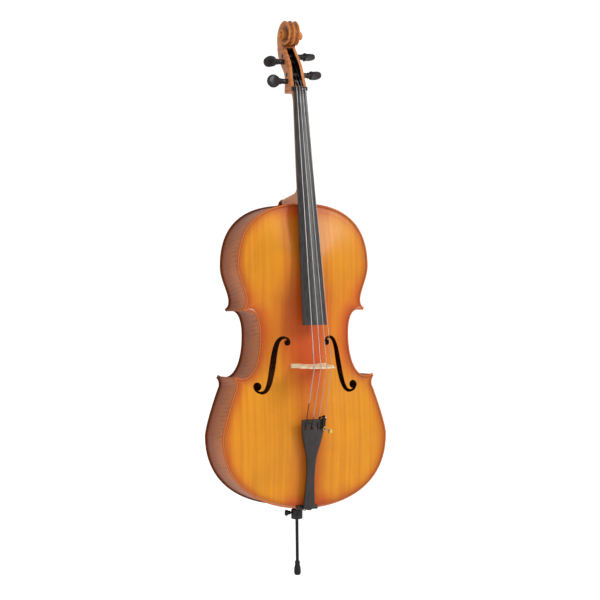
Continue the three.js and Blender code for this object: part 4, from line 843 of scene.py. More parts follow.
def scroll():
    points, faces, recess, index = [], [], [], {}

    # dark is how much painted shade a point of the scroll gets
    def vertex(key, turns, radius, x, dark=0.0):
        if key not in index:
            index[key] = len(points)
            angle = 2 * math.pi * turns
            back, up = EYE_PLACE[0] + radius * math.cos(angle), EYE_PLACE[1] + radius * math.sin(angle)
            points.append((x, back, NUT_LEVEL + up))
            recess.append(dark)
        return index[key]

    first = -14
    eye_radius, eye_half = turn_radius(LAST / TURN), 31.0
    # across the channel: share of the way in, and how deep
    channel = [(0.0, 0.0), (0.16, 0.9), (0.34, 1.9), (0.52, 2.8), (0.68, 3.3), (0.8, 3.3)]
    for side in (-1, 1):
        columns = []
        for i in range(first, LAST + 1):
            turns = i / TURN
            outer, half = turn_radius(turns), turn_half(turns)
            nested = i + TURN <= LAST
            inner = turn_radius((i + TURN) / TURN) if nested else eye_radius
            inner_half = turn_half((i + TURN) / TURN) if nested else eye_half
            room = max(outer - inner, 0.02)
            chamfer = min(1.5, room * 0.25)
            begun = float(ease(turns, -0.12, 0.3))
            column = [vertex((side, i, "edge"), turns, outer, side * (half - min(1.3, room * 0.2)), 0.0)]
            for k, (share, deep) in enumerate(channel):
                radius = outer - chamfer - share * (room - chamfer)
                deep = deep * min(1.0, room / 14) * begun
                dark = CHANNEL_PAINTED_SHADE[k] * begun
                column.append(vertex((side, i, k), turns, radius, side * (half - deep), dark))
            base = channel[-1][1] * min(1.0, room / 14) * begun
            low = half - base
            rise = inner_half - low
            # painted shade at the foot of the inner wall, fading up the wall
            for k, (near, share) in enumerate(((0.1, 0.06), (0.045, 0.25), (0.015, 0.6))):
                x = side * (low + share * rise)
                column.append(vertex((side, i, 10 + k), turns, inner + near * room, x, (1, 0.8, 0.4)[k]))
            if nested:
                beyond = turn_radius((i + 2 * TURN) / TURN) if i + 2 * TURN <= LAST else eye_radius
                x = side * (inner_half - min(1.3, (inner - beyond) * 0.2))
                column.append(vertex((side, i + TURN, "edge"), (i + TURN) / TURN, inner, x, 0.0))
            else:
                x = side * (eye_half - 1.2)
                column.append(vertex((side, "eye", i % TURN), turns, eye_radius, x, 0.2))
            columns.append(column)
        for a, b in zip(columns, columns[1:]):
            for p, q, r, s in zip(a, b, b[1:], a[1:]):
                face = (p, q, r, s) if side > 0 else (s, r, q, p)
                if len(set(face)) > 2:
                    faces.append(tuple(dict.fromkeys(face)))
        ring = [index[(side, "eye", k)] for k in range(TURN) if (side, "eye", k) in index]
        inner_ring, top = [], []
        for k in range(TURN):
            if (side, "eye", k) in index:
                inner_ring.append(vertex((side, "rim", k), k / TURN, eye_radius - 1.1, side * eye_half, 0.0))
                x = side * (eye_half + 0.7)
                top.append(vertex((side, "top", k), k / TURN, eye_radius * 0.45, x, 0.0))
        count = len(ring)
        for a, b in ((ring, inner_ring), (inner_ring, top)):
            for k in range(count):
                m = (k + 1) % count
                face = (a[k], a[m], b[m], b[k])
                faces.append(face if side > 0 else face[::-1])
        faces.append(tuple(top) if side > 0 else tuple(top[::-1]))
    # the fluted band between the two sides, over the first turn
    last_band = TURN + 6
    rows = []
    for i in range(first, last_band + 1):
        turns = i / TURN
        outer, half = turn_radius(turns), turn_half(turns)
        row = [index[(-1, i, "edge")]]
        for k, x in enumerate(np.linspace(-1, 1, 23)[1:-1]):
            flute = 1 - (2 * abs(x) - 1)**2
            radius = outer - 2.8 * flute + 0.5 * (1 - abs(x))
            # painted shade in the bottom of each flute
            row.append(vertex(("band", i, k), turns, radius, x * (half - 1.3), 0.9 * flute))
        row.append(index[(1, i, "edge")])
        rows.append(row)
    for a, b in zip(rows, rows[1:]):
        for p, q, r, s in zip(a, a[1:], b[1:], b):
            faces.append((p, q, r, s))
    made = make_piece("scroll", points, faces, materials=[HEAD_MAPLE], marks={"recess": recess}, corner=42,
                      replaced=("neck_and_scroll",))
    return made


HEAD_MAPLE = maple_finish("head_maple", tone(248, 166, 84), tone(222, 124, 48), tone(176, 80, 26), width=0.011,
                          gloss=0.3, lean=0.4, recess=True)
scroll()

# ---- Fingerboard and nut -----------------------------------------------------------------------------------
# Ebony, planed to a round top and glued to the neck: its lower half stands free over the front. The nut is a
# small block across its upper end, a little wider than the board, with a groove for each string.


def ebony_finish(name, light=(74, 69, 68), dark=(44, 40, 40), gloss=0.38, along="Z"):
    material, shader, tree = finish(name, gloss, specular=0.45)
    place = tree.add("ShaderNodeTexCoord").outputs["Object"]
    stretch = {"Z": (260, 260, 9), "X": (9, 260, 260), "N": (120, 120, 120)}[along]
    grain = tree.noise(place, stretch, 4, 0.6)
    colour = tree.blend(tree.between(grain, 0.35, 0.68), tone(*dark), tone(*light))
    worn = tree.add("ShaderNodeGroup", {"Place": place, "Cloud": 0.12, "Gloss": gloss}, node_tree=VARNISH_WEAR)
    colour = tree.blend(1.0, colour, worn.outputs["Shade"], "MULTIPLY")
    tree.tree.links.new(colour, shader.inputs["Base Color"])
    tree.tree.links.new(worn.outputs["Roughness"], shader.inputs["Roughness"])
    bump = tree.add("ShaderNodeBump", {"Height": grain, "Strength": 0.08, "Distance": 0.0003})
    tree.tree.links.new(bump.outputs[0], shader.inputs["Normal"])
    return material


BOARD_EBONY = ebony_finish("board_ebony", light=(70, 68, 69), dark=(46, 43, 44), gloss=0.4)
FITTING_EBONY = ebony_finish("fitting_ebony", light=(44, 41, 42), dark=(22, 20, 21), gloss=0.36)


def board_half(z):
    return mix(31.5, 16.5, (z - 454) / 581)


def fall(radius, x):
    """How far a round top of this radius has dropped at a distance from its middle."""
    return radius - math.sqrt(radius * radius - x * x)


def board_top(x, z):
    half = board_half(z)
    return board_under(z) - 7 - fall(62, half) + fall(62, x)


def board_ring(z, shrink=0.0):
    half = board_half(z) - shrink
    under = board_under(z) + shrink * 0.0
    ring = [(half - 0.8, under - shrink * 0.3, z), (-half + 0.8, under - shrink * 0.3, z),
            (-half, under - 0.8, z)]
    edge_top = board_top(half, z)
    ring.append((-half, mix(under, edge_top, 0.6), z))
    ring.append((-half, edge_top + 0.9, z))
    for x in np.linspace(-half + 0.7, half - 0.7, 27):
        ring.append((x, board_top(x, z) + shrink * 0.8, z))
    ring.append((half, edge_top + 0.9, z))
    ring.append((half, mix(under, edge_top, 0.6), z))
    ring.append((half, under - 0.8, z))
    return ring


board = lofted("fingerboard_ebony", [board_ring(454, 0.8), board_ring(454.8)]
               + [board_ring(z) for z in np.linspace(470, 1034.2, 24)] + [board_ring(1034.6, 0.3)],
               materials=[BOARD_EBONY], corner=32, replaced=("fingerboard",))


NUT_ACROSS = [7.7 * (i - 1.5) for i in range(4)]


def nut_ring(z, lower):
    half, behind = 21, board_under(NUT_LEVEL) + 1.65
    ring = [(half - 0.7, behind, z), (-half + 0.7, behind, z), (-half, behind - 0.8, z),
            (-half, behind - 5.2, z), (-half + 0.8, behind - 6.2, z), (-17.6, behind - 6.6, z)]
    for x in np.linspace(-16.5, 16.5, 67):
        groove = max([0] + [0.75 - abs(x - at) * 0.75 for at in NUT_ACROSS])
        ring.append((x, board_top(x, NUT_LEVEL) - 2.2 + lower + groove, z))
    ring += [(17.6, behind - 6.6, z), (half - 0.8, behind - 6.2, z), (half, behind - 5.2, z),
             (half, behind - 0.8, z)]
    return ring


nut = lofted("nut_ebony", [nut_ring(1035.1, 0.7), nut_ring(1035.8, 0.1), nut_ring(1038.5, 0),
                           nut_ring(1041, 1.4), nut_ring(1043.4, 3.6), nut_ring(1044.6, 5.2)],
             materials=[FITTING_EBONY], corner=35, replaced=("nut",))

# ---- Pegs --------------------------------------------------------------------------------------------------
# Four ebony pegs, turned with a collar and a flared bell, each with a thin round thumb piece hollowed on both
# faces. Their tapered shafts wedge in both cheeks, and the far ends show flush on the other side.

STRING_NAMES = "cgda"
# Side of the head it is turned from, how far back and up from the nut, and how far it was last turned.
PEG_PLACES = {"c": (-1, -20, 25, 0.0), "g": (-1, 8, 77, 0.72), "d": (1, 18, 92, 1.2), "a": (1, -15, 42, 1.05)}
# Distance out from the cheek, half height and half thickness, and how far each face is hollowed.
PEG_STATIONS = [
    (0, 6.9, 6.9, 0), (9, 6.7, 6.7, 0), (15.6, 6.4, 6.4, 0), (16.4, 7.2, 7.2, 0), (17.2, 7.9, 7.9, 0),
    (18, 7.9, 7.9, 0), (18.8, 7.2, 7.2, 0), (19.8, 7.1, 7.1, 0), (21.4, 8.1, 8.1, 0), (23.2, 9.9, 9.8, 0),
    (24.4, 11, 10.8, 0), (25.2, 11.6, 10.9, 0), (26.2, 12.4, 9.4, 0), (27.4, 13.3, 7.6, 0),
    (29.2, 14.5, 6.3, 0.2), (31.4, 15.6, 5.8, 0.7), (34, 16.3, 5.7, 1.3), (37.5, 16.5, 5.7, 1.5),
    (41, 16.2, 5.7, 1.4), (44.2, 15, 5.7, 1.1), (47, 13.2, 5.6, 0.8), (49.4, 11, 5.4, 0.4),
    (51.4, 8.3, 5, 0.1), (52.8, 5.4, 4, 0), (53.8, 2.2, 1.8, 0)]


def peg(name):
    side, back, up, turned = PEG_PLACES[name]
    half = float(pegbox_half(up))
    rings = []
    far = [(-2 * half - 0.5, 5.5, 5.5, 0), (-2 * half - 0.2, 5.9, 5.9, 0), (-2 * half + 0.4, 6, 6, 0)]
    for reach, tall, thick, hollow in far + PEG_STATIONS:
        ring = []
        for angle in np.linspace(0, 2 * math.pi, 49)[:-1]:
            c, s = math.cos(angle), math.sin(angle)
            square = 1.0 if reach < 25.5 else 0.78
            y = thick * math.copysign(abs(s)**square, s)
            dent = hollow * max(0, abs(s) - 0.25) / 0.75
            y -= math.copysign(dent, s) if hollow else 0
            z = tall * c
            ring.append((side * (half + reach), y * math.cos(turned) - z * math.sin(turned),
                         y * math.sin(turned) + z * math.cos(turned)))
        rings.append(np.array(ring) + (0, back, NUT_LEVEL + up))
    made = lofted(f"{name}_peg_ebony", rings, flip=side > 0, body=f"{name}_peg_turning",
                  materials=[FITTING_EBONY], corner=50, replaced=(f"{name}_peg",))


for name in STRING_NAMES:
    peg(name)

# ---- Bridge ------------------------------------------------------------------------------------------------
# A thin arched plate of pale maple on two feet, held only by the strings. Its back stands upright and its
# face slopes, from 11 mm at the feet to 3 mm at the crown, and a heart and two eyes are cut through it.

BRIDGE_CROWN = -180.6
BRIDGE_HEIGHT = 92.5


def bridge_maple_finish():
    material, shader, tree = finish("bridge_maple", 0.45, specular=0.5)
    place = tree.add("ShaderNodeTexCoord").outputs["Object"]
    fleck = tree.noise(place, (900, 260, 260), 3, 0.7)
    colour = tree.blend(tree.noise(place, (40, 20, 60), 3), tone(255, 244, 212), tone(250, 218, 166))
    colour = tree.blend(tree.between(fleck, 0.55, 0.7, 0, 0.5), colour, tone(176, 116, 64))
    tree.tree.links.new(colour, shader.inputs["Base Color"])
    bump = tree.add("ShaderNodeBump", {"Height": fleck, "Strength": 0.15, "Distance": 0.0002})
    tree.tree.links.new(bump.outputs[0], shader.inputs["Normal"])
    return material


def bridge_top(x):
    return BRIDGE_CROWN + fall(68, x) + 0.14 * max(0, x)


def front_arch_at(x, z):
    """The front plate's outer face, as a distance forward."""
    flat = np.array([[x, z]])
    return FRONT_EDGE - float(plate_rise(flat, distance_to(flat, EDGE), FRONT_ARCH)[0] - EDGE_THICK)


# Down the treble edge, across the arch between the feet, and round an eye: half width, and height as a share.
BRIDGE_LEG = [(34, 0.908), (34.6, 0.88), (34.3, 0.845), (31.5, 0.79), (30, 0.75), (30.6, 0.7), (34, 0.652),
              (39, 0.615), (43, 0.575), (44.2, 0.53), (43, 0.485), (39, 0.45), (33.5, 0.42), (30.6, 0.385),
              (29.7, 0.34), (30.6, 0.28), (33, 0.225), (36.5, 0.16), (40, 0.1), (44, 0.05), (45.4, 0.01)]
BRIDGE_ARCHWAY = [(23.4, 0.01), (24.6, 0.05), (25, 0.1), (23.6, 0.15), (19, 0.19), (12, 0.218), (5, 0.232),
                  (0, 0.235)]
BRIDGE_EYE = [(31.5, 0.53), (28, 0.56), (22.5, 0.545), (18, 0.5), (17, 0.46), (19.5, 0.455), (23, 0.49),
              (28, 0.505)]


def bridge():
    def place(pairs, side):
        return [(side * x, BRIDGE_CROWN + BRIDGE_HEIGHT * (1 - rise)) for x, rise in pairs]

    right = curve_through(BRIDGE_LEG, 60)
    arch = curve_through(BRIDGE_ARCHWAY, 30)
    foot_x = [45.5, 40, 34, 28, 23]
    half = place(right, 1) + [(x, front_arch_at(x, BRIDGE_LINE) + 0.1) for x in foot_x] + place(arch, 1)
    other = [(-x, y) for x, y in half][::-1][1:]
    for i, (x, y) in enumerate(other):  # the bass foot's lower points are set on the front's arch
        under = front_arch_at(x, BRIDGE_LINE)
        if abs(y - under) < 1.6 and 22 < -x < 46:
            other[i] = (x, under + 0.1)
    crown = [(x, bridge_top(x)) for x in np.linspace(-32.5, 32.5, 53)]
    loop = np.array(crown + half + other)
    heart = []
    for t in np.linspace(0, 2 * math.pi, 41)[:-1]:
        hx = 7.6 * math.sin(t)**3
        hy = -(6.6 * math.cos(t) - 2.6 * math.cos(2 * t) - 1.2 * math.cos(3 * t) - 0.4 * math.cos(4 * t))
        heart.append((hx, BRIDGE_CROWN + BRIDGE_HEIGHT * 0.4 + hy))
    eye = curve_through(BRIDGE_EYE + BRIDGE_EYE[:1], 33)[:-1]
    eyes = [np.array(place(eye, side)) for side in (-1, 1)]
    holes = [np.array(heart)] + eyes
    rows = np.arange(BRIDGE_CROWN + 3, BRIDGE_CROWN + BRIDGE_HEIGHT + 10, 3.0)
    gx, gy = np.meshgrid(np.arange(-44, 45, 3.0), rows)
    flat, faces = cut_sheet([loop] + holes, np.column_stack([gx.ravel(), gy.ravel()]))
    down = np.clip((flat[:, 1] - BRIDGE_CROWN) / (BRIDGE_HEIGHT * 0.9), 0, 1)
    thick = mix(3, 11, down)
    low = BRIDGE_LINE - 5.5
    near = np.minimum(np.min([distance_to(flat, ring) for ring in [loop] + holes], axis=0), 0.7) / 0.7
    soft = 0.5 * (1 - near)
    total = len(flat)
    top = np.column_stack([flat[:, 0], flat[:, 1], low + thick - soft])
    bottom = np.column_stack([flat[:, 0], flat[:, 1], low + soft])
    a, b, c = (flat[faces[:, k]] for k in range(3))
    turned = (b - a)[:, 0] * (c - a)[:, 1] - (b - a)[:, 1] * (c - a)[:, 0] < 0
    faces[turned] = faces[turned][:, ::-1]
    body = [tuple(f) for f in faces] + [tuple(f[::-1] + total) for f in faces]
    used = {(f[i], f[(i + 1) % 3]) for f in faces for i in range(3)}
    body += [(q, p, p + total, q + total) for p, q in used if (q, p) not in used]
    made = make_piece("bridge_cut", np.vstack([top, bottom]), body, materials=[bridge_maple_finish()],
                      corner=40, replaced=("bridge",))


bridge()

# ---- Endpin ------------------------------------------------------------------------------------------------
# An ebony plug and collar fill a tapered hole in the bottom block. A steel rod slides through them to the
# floor on a rubber foot, and a thumbscrew through the collar holds it at the player's height.


def lathe(name, profile, place=(0, 0, 0), steps=56, **more):
    """A turned piece: pairs of radius and height, up from the foot, about an upright axis."""
    rings = []
    for radius, height in profile:
        turn = np.linspace(0, 2 * math.pi, steps + 1)[:-1]
        ring = np.column_stack([radius * np.cos(turn), radius * np.sin(turn), np.full(steps, height)])
        rings.append(ring + place)
    return lofted(name, rings, **more)


def painted_metal_finish(name, light, dark, gloss, metal, fine=900):
    material, shader, tree = finish(name, gloss, metal=metal, specular=0.5)
    place = tree.add("ShaderNodeTexCoord").outputs["Object"]
    grain = tree.noise(place, (fine, fine, fine * 0.3), 3)
    colour = tree.blend(tree.between(grain, 0.35, 0.65), tone(*dark), tone(*light))
    tree.tree.links.new(colour, shader.inputs["Base Color"])
    worn = tree.add("ShaderNodeGroup", {"Place": place, "Cloud": 0.1, "Gloss": gloss}, node_tree=VARNISH_WEAR)
    tree.tree.links.new(worn.outputs["Roughness"], shader.inputs["Roughness"])
    bump = tree.add("ShaderNodeBump", {"Height": grain, "Strength": 0.06, "Distance": 0.0001})
    tree.tree.links.new(bump.outputs[0], shader.inputs["Normal"])
    return material


BLACK_STEEL = painted_metal_finish("black_steel", (30, 29, 30), (14, 13, 14), 0.34, 0.35)
FOOT_RUBBER = painted_metal_finish("foot_rubber", (22, 21, 22), (10, 10, 10), 0.7, 0.0, 1600)

collar = lathe("endpin_collar_turned", [
    (4.4, -31.9), (10.8, -31.9), (12.9, -31.4), (14, -30.2), (14.5, -28.4), (14.5, -20.4), (14.1, -20),
    (14.1, -19.4), (14.5, -19), (14.5, -10), (14.3, -8.4), (13.4, -7.2), (12.3, -6.4), (11.6, -5.4),
    (11.5, -4), (11.5, 0.8), (12.6, 4), (11.6, 45.8), (4.4, 45.8), (4.4, 20), (4.4, -10), (4.4, -31.9)],
    materials=[FITTING_EBONY], corner=42, replaced=("endpin_collar",))
rod = lathe("endpin_rod_turned", [
    (0.4, -161.8), (4, -161.8), (4, -150), (4, -100), (4, -60), (4, 0), (4, 150), (4, 341.6), (3.6, 343.4),
    (2.4, 344.8), (0.4, 345)], body="endpin", materials=[BLACK_STEEL], corner=42, replaced=("endpin_rod",))
foot = lathe("endpin_foot_moulded", [
    (0.6, -172), (3.6, -172), (5, -171.4), (6.6, -170.2), (7.7, -168.4), (8.3, -166.4), (8.5, -164),
    (8.5, -160), (8.35, -156.6), (8, -153.6), (7.4, -150.6), (6.7, -148.4), (6.3, -147.2), (6.2, -146.4),
    (6.6, -146), (6.6, -145), (6.2, -144.6), (6.2, -142.4), (6.6, -142), (6.6, -141), (6.2, -140.6),
    (6.2, -137.6), (5.9, -136.6), (5.2, -136), (4.3, -136), (4.3, -140), (4.3, -161.6), (0.6, -161.6)],
    body="endpin", materials=[FOOT_RUBBER], corner=42, replaced=("endpin_tip",))


def thumbscrew():
    """Rings across the screw's axis, which runs towards the bass side."""
    def ring(out, tall, thick, square=1.0):
        turn = np.linspace(0, 2 * math.pi, 41)[:-1]
        c, s = np.cos(turn), np.sin(turn)
        y = thick * np.sign(s) * np.abs(s)**square
        return np.column_stack([np.full(40, out), y, -15 + tall * np.sign(c) * np.abs(c)**square])

    shank = [ring(-26.4, 2, 2), ring(-26.1, 2.6, 2.6)]
    for i in range(58):
        radius = 2.6 if i % 2 else 2.25
        shank.append(ring(-25.6 + i * 0.36, radius, radius))
    shank += [ring(-4.7, 2.5, 2.5), ring(-4.4, 1.6, 1.6)]
    made = lofted("thumbscrew_shank", shank, body="clamp_shank", materials=[BLACK_STEEL], corner=25,
                  replaced=("clamp_screw_shank",))
    wing = [(-17.6, 3.6, 3.6, 1), (-17.9, 4.4, 4.4, 1), (-18.6, 5, 5, 1), (-19.6, 5.2, 5.2, 1),
            (-22, 5, 4.9, 1), (-24, 5.6, 4.1, 0.95), (-25.6, 6.9, 3.3, 0.9), (-27.4, 7.8, 2.95, 0.85),
            (-29.4, 7.9, 2.8, 0.8), (-31, 7.2, 2.5, 0.8), (-32, 6, 2.1, 0.85), (-32.5, 4.4, 1.4, 0.9)]
    made = lofted("thumbscrew_wing", [ring(*row) for row in wing][::-1], body="clamp_wing",
                  materials=[BLACK_STEEL], corner=50, replaced=("clamp_screw_wing",))


thumbscrew()

# ---- Saddle and tailgut ------------------------------------------------------------------------------------
# An ebony saddle let into the front's lower edge carries the cord that ties the tailpiece to the endpin's
# collar.


def saddle():
    side = [(-67, -1.6), (-68.2, -0.9), (-69, 0.4), (-69.4, 2.4), (-69.3, 4.6), (-68.6, 6.4), (-67.2, 7.8),
            (-65, 8.6), (-63.5, 8.9), (-59.4, 8.9), (-59.4, 0.1), (-62.6, -1.9), (-65, -1.9)]
    rings = []
    for x, shrink in ((-27.9, 0.86), (-27.2, 0.97), (-26, 1), (-15, 1), (-8, 1), (0, 1), (8, 1), (15, 1),
                      (26, 1), (27.2, 0.97), (27.9, 0.86)):
        rings.append([(x, -63 + (y + 63) * shrink, 3.4 + (z - 3.4) * shrink) for y, z in side])
    made = lofted("saddle_ebony", rings, flip=True, materials=[FITTING_EBONY], corner=35,
                  replaced=("saddle",))


def tube(name, path, radius, sides=14, **more):
    """A round cord along a path, with its ends drawn in. It keeps its distance along as a mark."""
    path = np.asarray(path, float)
    along = np.gradient(path, axis=0)
    along /= np.linalg.norm(along, axis=1)[:, None]
    side = np.cross(along[0], (0.3, 1, 0.2))
    side /= np.linalg.norm(side)
    reach = np.concatenate([[0], np.cumsum(np.linalg.norm(np.diff(path, axis=0), axis=1))])
    rings, marks = [], []
    for i, (point, way) in enumerate(zip(path, along)):
        side = side - way * (side @ way)
        side /= np.linalg.norm(side)
        other = np.cross(way, side)
        wide = radius[i] if hasattr(radius, "__len__") else radius
        wide *= 0.55 if i in (0, len(path) - 1) else 1
        turn = np.linspace(0, 2 * math.pi, sides + 1)[:-1]
        rings.append(point + wide * (np.cos(turn)[:, None] * side + np.sin(turn)[:, None] * other))
        marks.append(np.full(sides, reach[i]))
    return lofted(name, rings, marks={"along": np.concatenate(marks)}, corner=60, **more)


TAIL_WIDTHS = [
    (0, 3.6), (1.2, 6), (2.5, 8), (4, 9.9), (6, 11.6), (9, 13.3), (12, 14), (16, 14.1), (35, 13),
    (55, 11.4), (75, 10.5), (96, 10.5), (116, 11.4), (127, 12.3), (137, 14), (147, 16.6), (157, 19.4),
    (167, 22.2), (177, 24.7), (188, 27), (198, 28.6), (206, 29.1), (214, 29.2), (225, 29.2)]
TAIL_LOW = -3
GUT_RADIUS = 1.1


def tail_forward(z):
    return mix(12, 46, (z - TAIL_LOW) / 225)


def tail_half(z):
    return float(np.interp(z - TAIL_LOW, [a for a, _ in TAIL_WIDTHS], [h for _, h in TAIL_WIDTHS]))


def tail_face(x, z):
    half = tail_half(z)
    return FRONT_EDGE - tail_forward(z) - 4.95 - fall(56, half) + fall(56, min(abs(x), half))


def tailgut():
    off, low, loop = GUT_RADIUS + 0.35, -3.45, 13.15

    def tail_back(z):
        return FRONT_EDGE - tail_forward(z) + 3.15

    half = [(5.5, tail_back(19) + off + 0.3, 19), (5.6, tail_back(12) + off + 0.1, 12), (5.8, -71.25, 5),
            (6, -70.95, 2), (6.2, -70.45, -0.8), (6.4, -69.1, low - 0.2)]
    turn = np.linspace(0, np.pi, 24)
    round_back = [(loop * math.cos(a), loop * math.sin(a), low) for a in turn]
    other = [(-x, y, z) for x, y, z in half][::-1]
    path = curve_through(half + [(10, -38, low)] + round_back + [(-10, -38, low)] + other, 260)
    made = tube("tailgut_cord", path, GUT_RADIUS, materials=[FITTING_EBONY], replaced=("tailgut",))


saddle()
tailgut()

# ---- Tailpiece ---------------------------------------------------------------------------------------------
# A slim ebony wedge with a rounded face, hollowed behind. Three keyholes and a round hole take the strings'
# ball ends, and a raised fret across its wide end sets where they begin.

HOLE_LEVEL, FRET_LEVEL = 201, 213
TAIL_ACROSS = [15.2 * (i - 1.5) for i in range(4)]
TAIL_EBONY = ebony_finish("tail_ebony", light=(58, 53, 52), dark=(46, 42, 42), gloss=0.42)


def keyhole(x):
    turn = np.linspace(math.radians(118), math.radians(422), 22)
    ring = [(x + 3.2 * math.cos(a), HOLE_LEVEL + 3.2 * math.sin(a)) for a in turn]
    return np.array(ring + [(x + 1.45, 209.3), (x + 1.0, 209.9), (x - 1.0, 209.9), (x - 1.45, 209.3)])


def tailpiece():
    levels = np.concatenate([[-3, -2.6, -1.8, -0.6, 1, 3, 6, 9], np.linspace(14, 221, 70), [222]])
    right = np.array([(tail_half(z), z) for z in levels])
    right[0, 0] = 3.0
    loop = np.vstack([right, [(20, 222.6), (0, 222.9), (-20, 222.6)], (right * (-1, 1))[::-1], [(0, -3.3)]])
    turn = np.linspace(0, 2 * math.pi, 25)[:-1]
    holes = [keyhole(x) for x in TAIL_ACROSS[:3]]
    holes.append(np.column_stack([TAIL_ACROSS[3] + 3.5 * np.cos(turn), HOLE_LEVEL + 3.5 * np.sin(turn)]))
    spread = []
    for step in (0.5, 1.1, 1.9, 3.2):
        spread.append(np.column_stack([np.clip(np.abs(loop[:, 0]) - step, 0.5, None) * np.sign(loop[:, 0]),
                                       np.clip(loop[:, 1], -3.3 + step, 222.9 - step)]))
    gx, gz = np.meshgrid(np.arange(-27, 28, 3.0), np.arange(2, 221, 3.0))
    spread.append(np.column_stack([gx.ravel(), gz.ravel()]))
    flat, faces = cut_sheet([loop] + holes, np.vstack(spread))
    rim = distance_to(flat, loop)
    round_edge = 1.7 * (1 - np.sqrt(1 - (1 - np.clip(rim / 1.9, 0, 1))**2))
    near_hole = np.min([distance_to(flat, hole) for hole in holes], axis=0)
    round_hole = 0.45 * (1 - np.clip(near_hole / 0.8, 0, 1))**2
    face = np.array([tail_face(x, z) for x, z in flat]) + round_edge + round_hole
    halves = np.array([tail_half(z) for z in flat[:, 1]])
    hollow = np.array([fall(56, half) for half in halves]) * 0.75
    hollow *= np.maximum(0, 1 - (flat[:, 0] / np.maximum(halves, 1))**2)
    behind = np.array([FRONT_EDGE - tail_forward(z) + 3.15 for z in flat[:, 1]])
    behind -= hollow * np.clip(rim / 6, 0, 1)
    behind -= 0.8 * (1 - np.clip(rim / 1.2, 0, 1))
    made = thick_sheet("tailpiece_ebony", flat, faces, face, behind, materials=[TAIL_EBONY], corner=42,
                       replaced=("tailpiece",))
    rings = []
    for x in np.linspace(-26.6, 26.6, 41):
        top = tail_face(x, FRET_LEVEL)
        ends = 0.5 if abs(x) > 26.5 else 1
        rings.append([(x, top + 1.5, FRET_LEVEL - 1.5), (x, top - 0.9 * ends, FRET_LEVEL - 1.3),
                      (x, top - 1.5 * ends, FRET_LEVEL - 0.6), (x, top - 1.6 * ends, FRET_LEVEL),
                      (x, top - 1.5 * ends, FRET_LEVEL + 0.6), (x, top - 0.9 * ends, FRET_LEVEL + 1.3),
                      (x, top + 1.5, FRET_LEVEL + 1.5)])
    fret = lofted("tailpiece_fret_ebony", rings, materials=[FITTING_EBONY], corner=40,
                  replaced=("tailpiece_fret",))


tailpiece()

# ---- Fine tuner --------------------------------------------------------------------------------------------
# A black steel bracket in the A string's hole, clamped by a ring nut. Turning the gilt knob pushes a lever
# at the back, whose short arm pulls on the string's ball end.

GILT = painted_metal_finish("gilt", (242, 206, 112), (230, 188, 90), 0.24, 1.0)
TUNER_STEEL = painted_metal_finish("tuner_steel", (176, 178, 182), (140, 142, 146), 0.28, 1.0)
TUNER_LEAN = TUNER_TILT = 0.2
TUNER_PLACE = (Matrix.Translation((TAIL_ACROSS[3], tail_face(TAIL_ACROSS[3], HOLE_LEVEL), HOLE_LEVEL))
               @ Matrix.Rotation(TUNER_LEAN, 4, "X") @ Matrix.Rotation(TUNER_TILT, 4, "Z"))


def at_tuner(points):
    return np.array([tuple(TUNER_PLACE @ Vector(p)) for p in points])


def tuner_turned(name, profile, steps=40, **more):
    """A turned part of the tuner: pairs of radius and place along the tuner's own axis, face first."""
    rings = []
    for radius, place in profile:
        turn = np.linspace(0, 2 * math.pi, steps + 1)[:-1]
        rings.append(at_tuner([(radius * math.cos(a), place, radius * math.sin(a)) for a in turn]))
    return lofted(name, rings, flip=True, **more)


def tuner_slab(side_loop, half, shrink=0.35):
    """Rings of a flat part cut to a side outline of (back, up) pairs, with its long edges softened."""
    loop = np.array(side_loop, float)
    middle = loop.mean(axis=0)
    rings = []
    for x, ease_in in ((-half, shrink), (-half + shrink, 0), (half - shrink, 0), (half, shrink)):
        way = middle - loop
        way /= np.maximum(np.linalg.norm(way, axis=1), 1e-6)[:, None]
        rings.append(at_tuner([(x, y, z) for y, z in loop + way * ease_in]))
    return rings


def joined(name, groups, **more):
    """Several closed lofts kept as one piece."""
    points, faces, total = [], [], 0
    for rings in groups:
        faces += [tuple(v + total for v in f) for f in skin(rings)]
        points.append(np.vstack(rings))
        total += sum(len(r) for r in rings)
    faces = [f[::-1] for f in faces]
    return make_piece(name, np.vstack(points), faces, **more)


def shifted(rings, x):
    way = np.array(tuple(TUNER_PLACE.to_3x3() @ Vector((x, 0, 0))))
    return [ring + way for ring in rings]


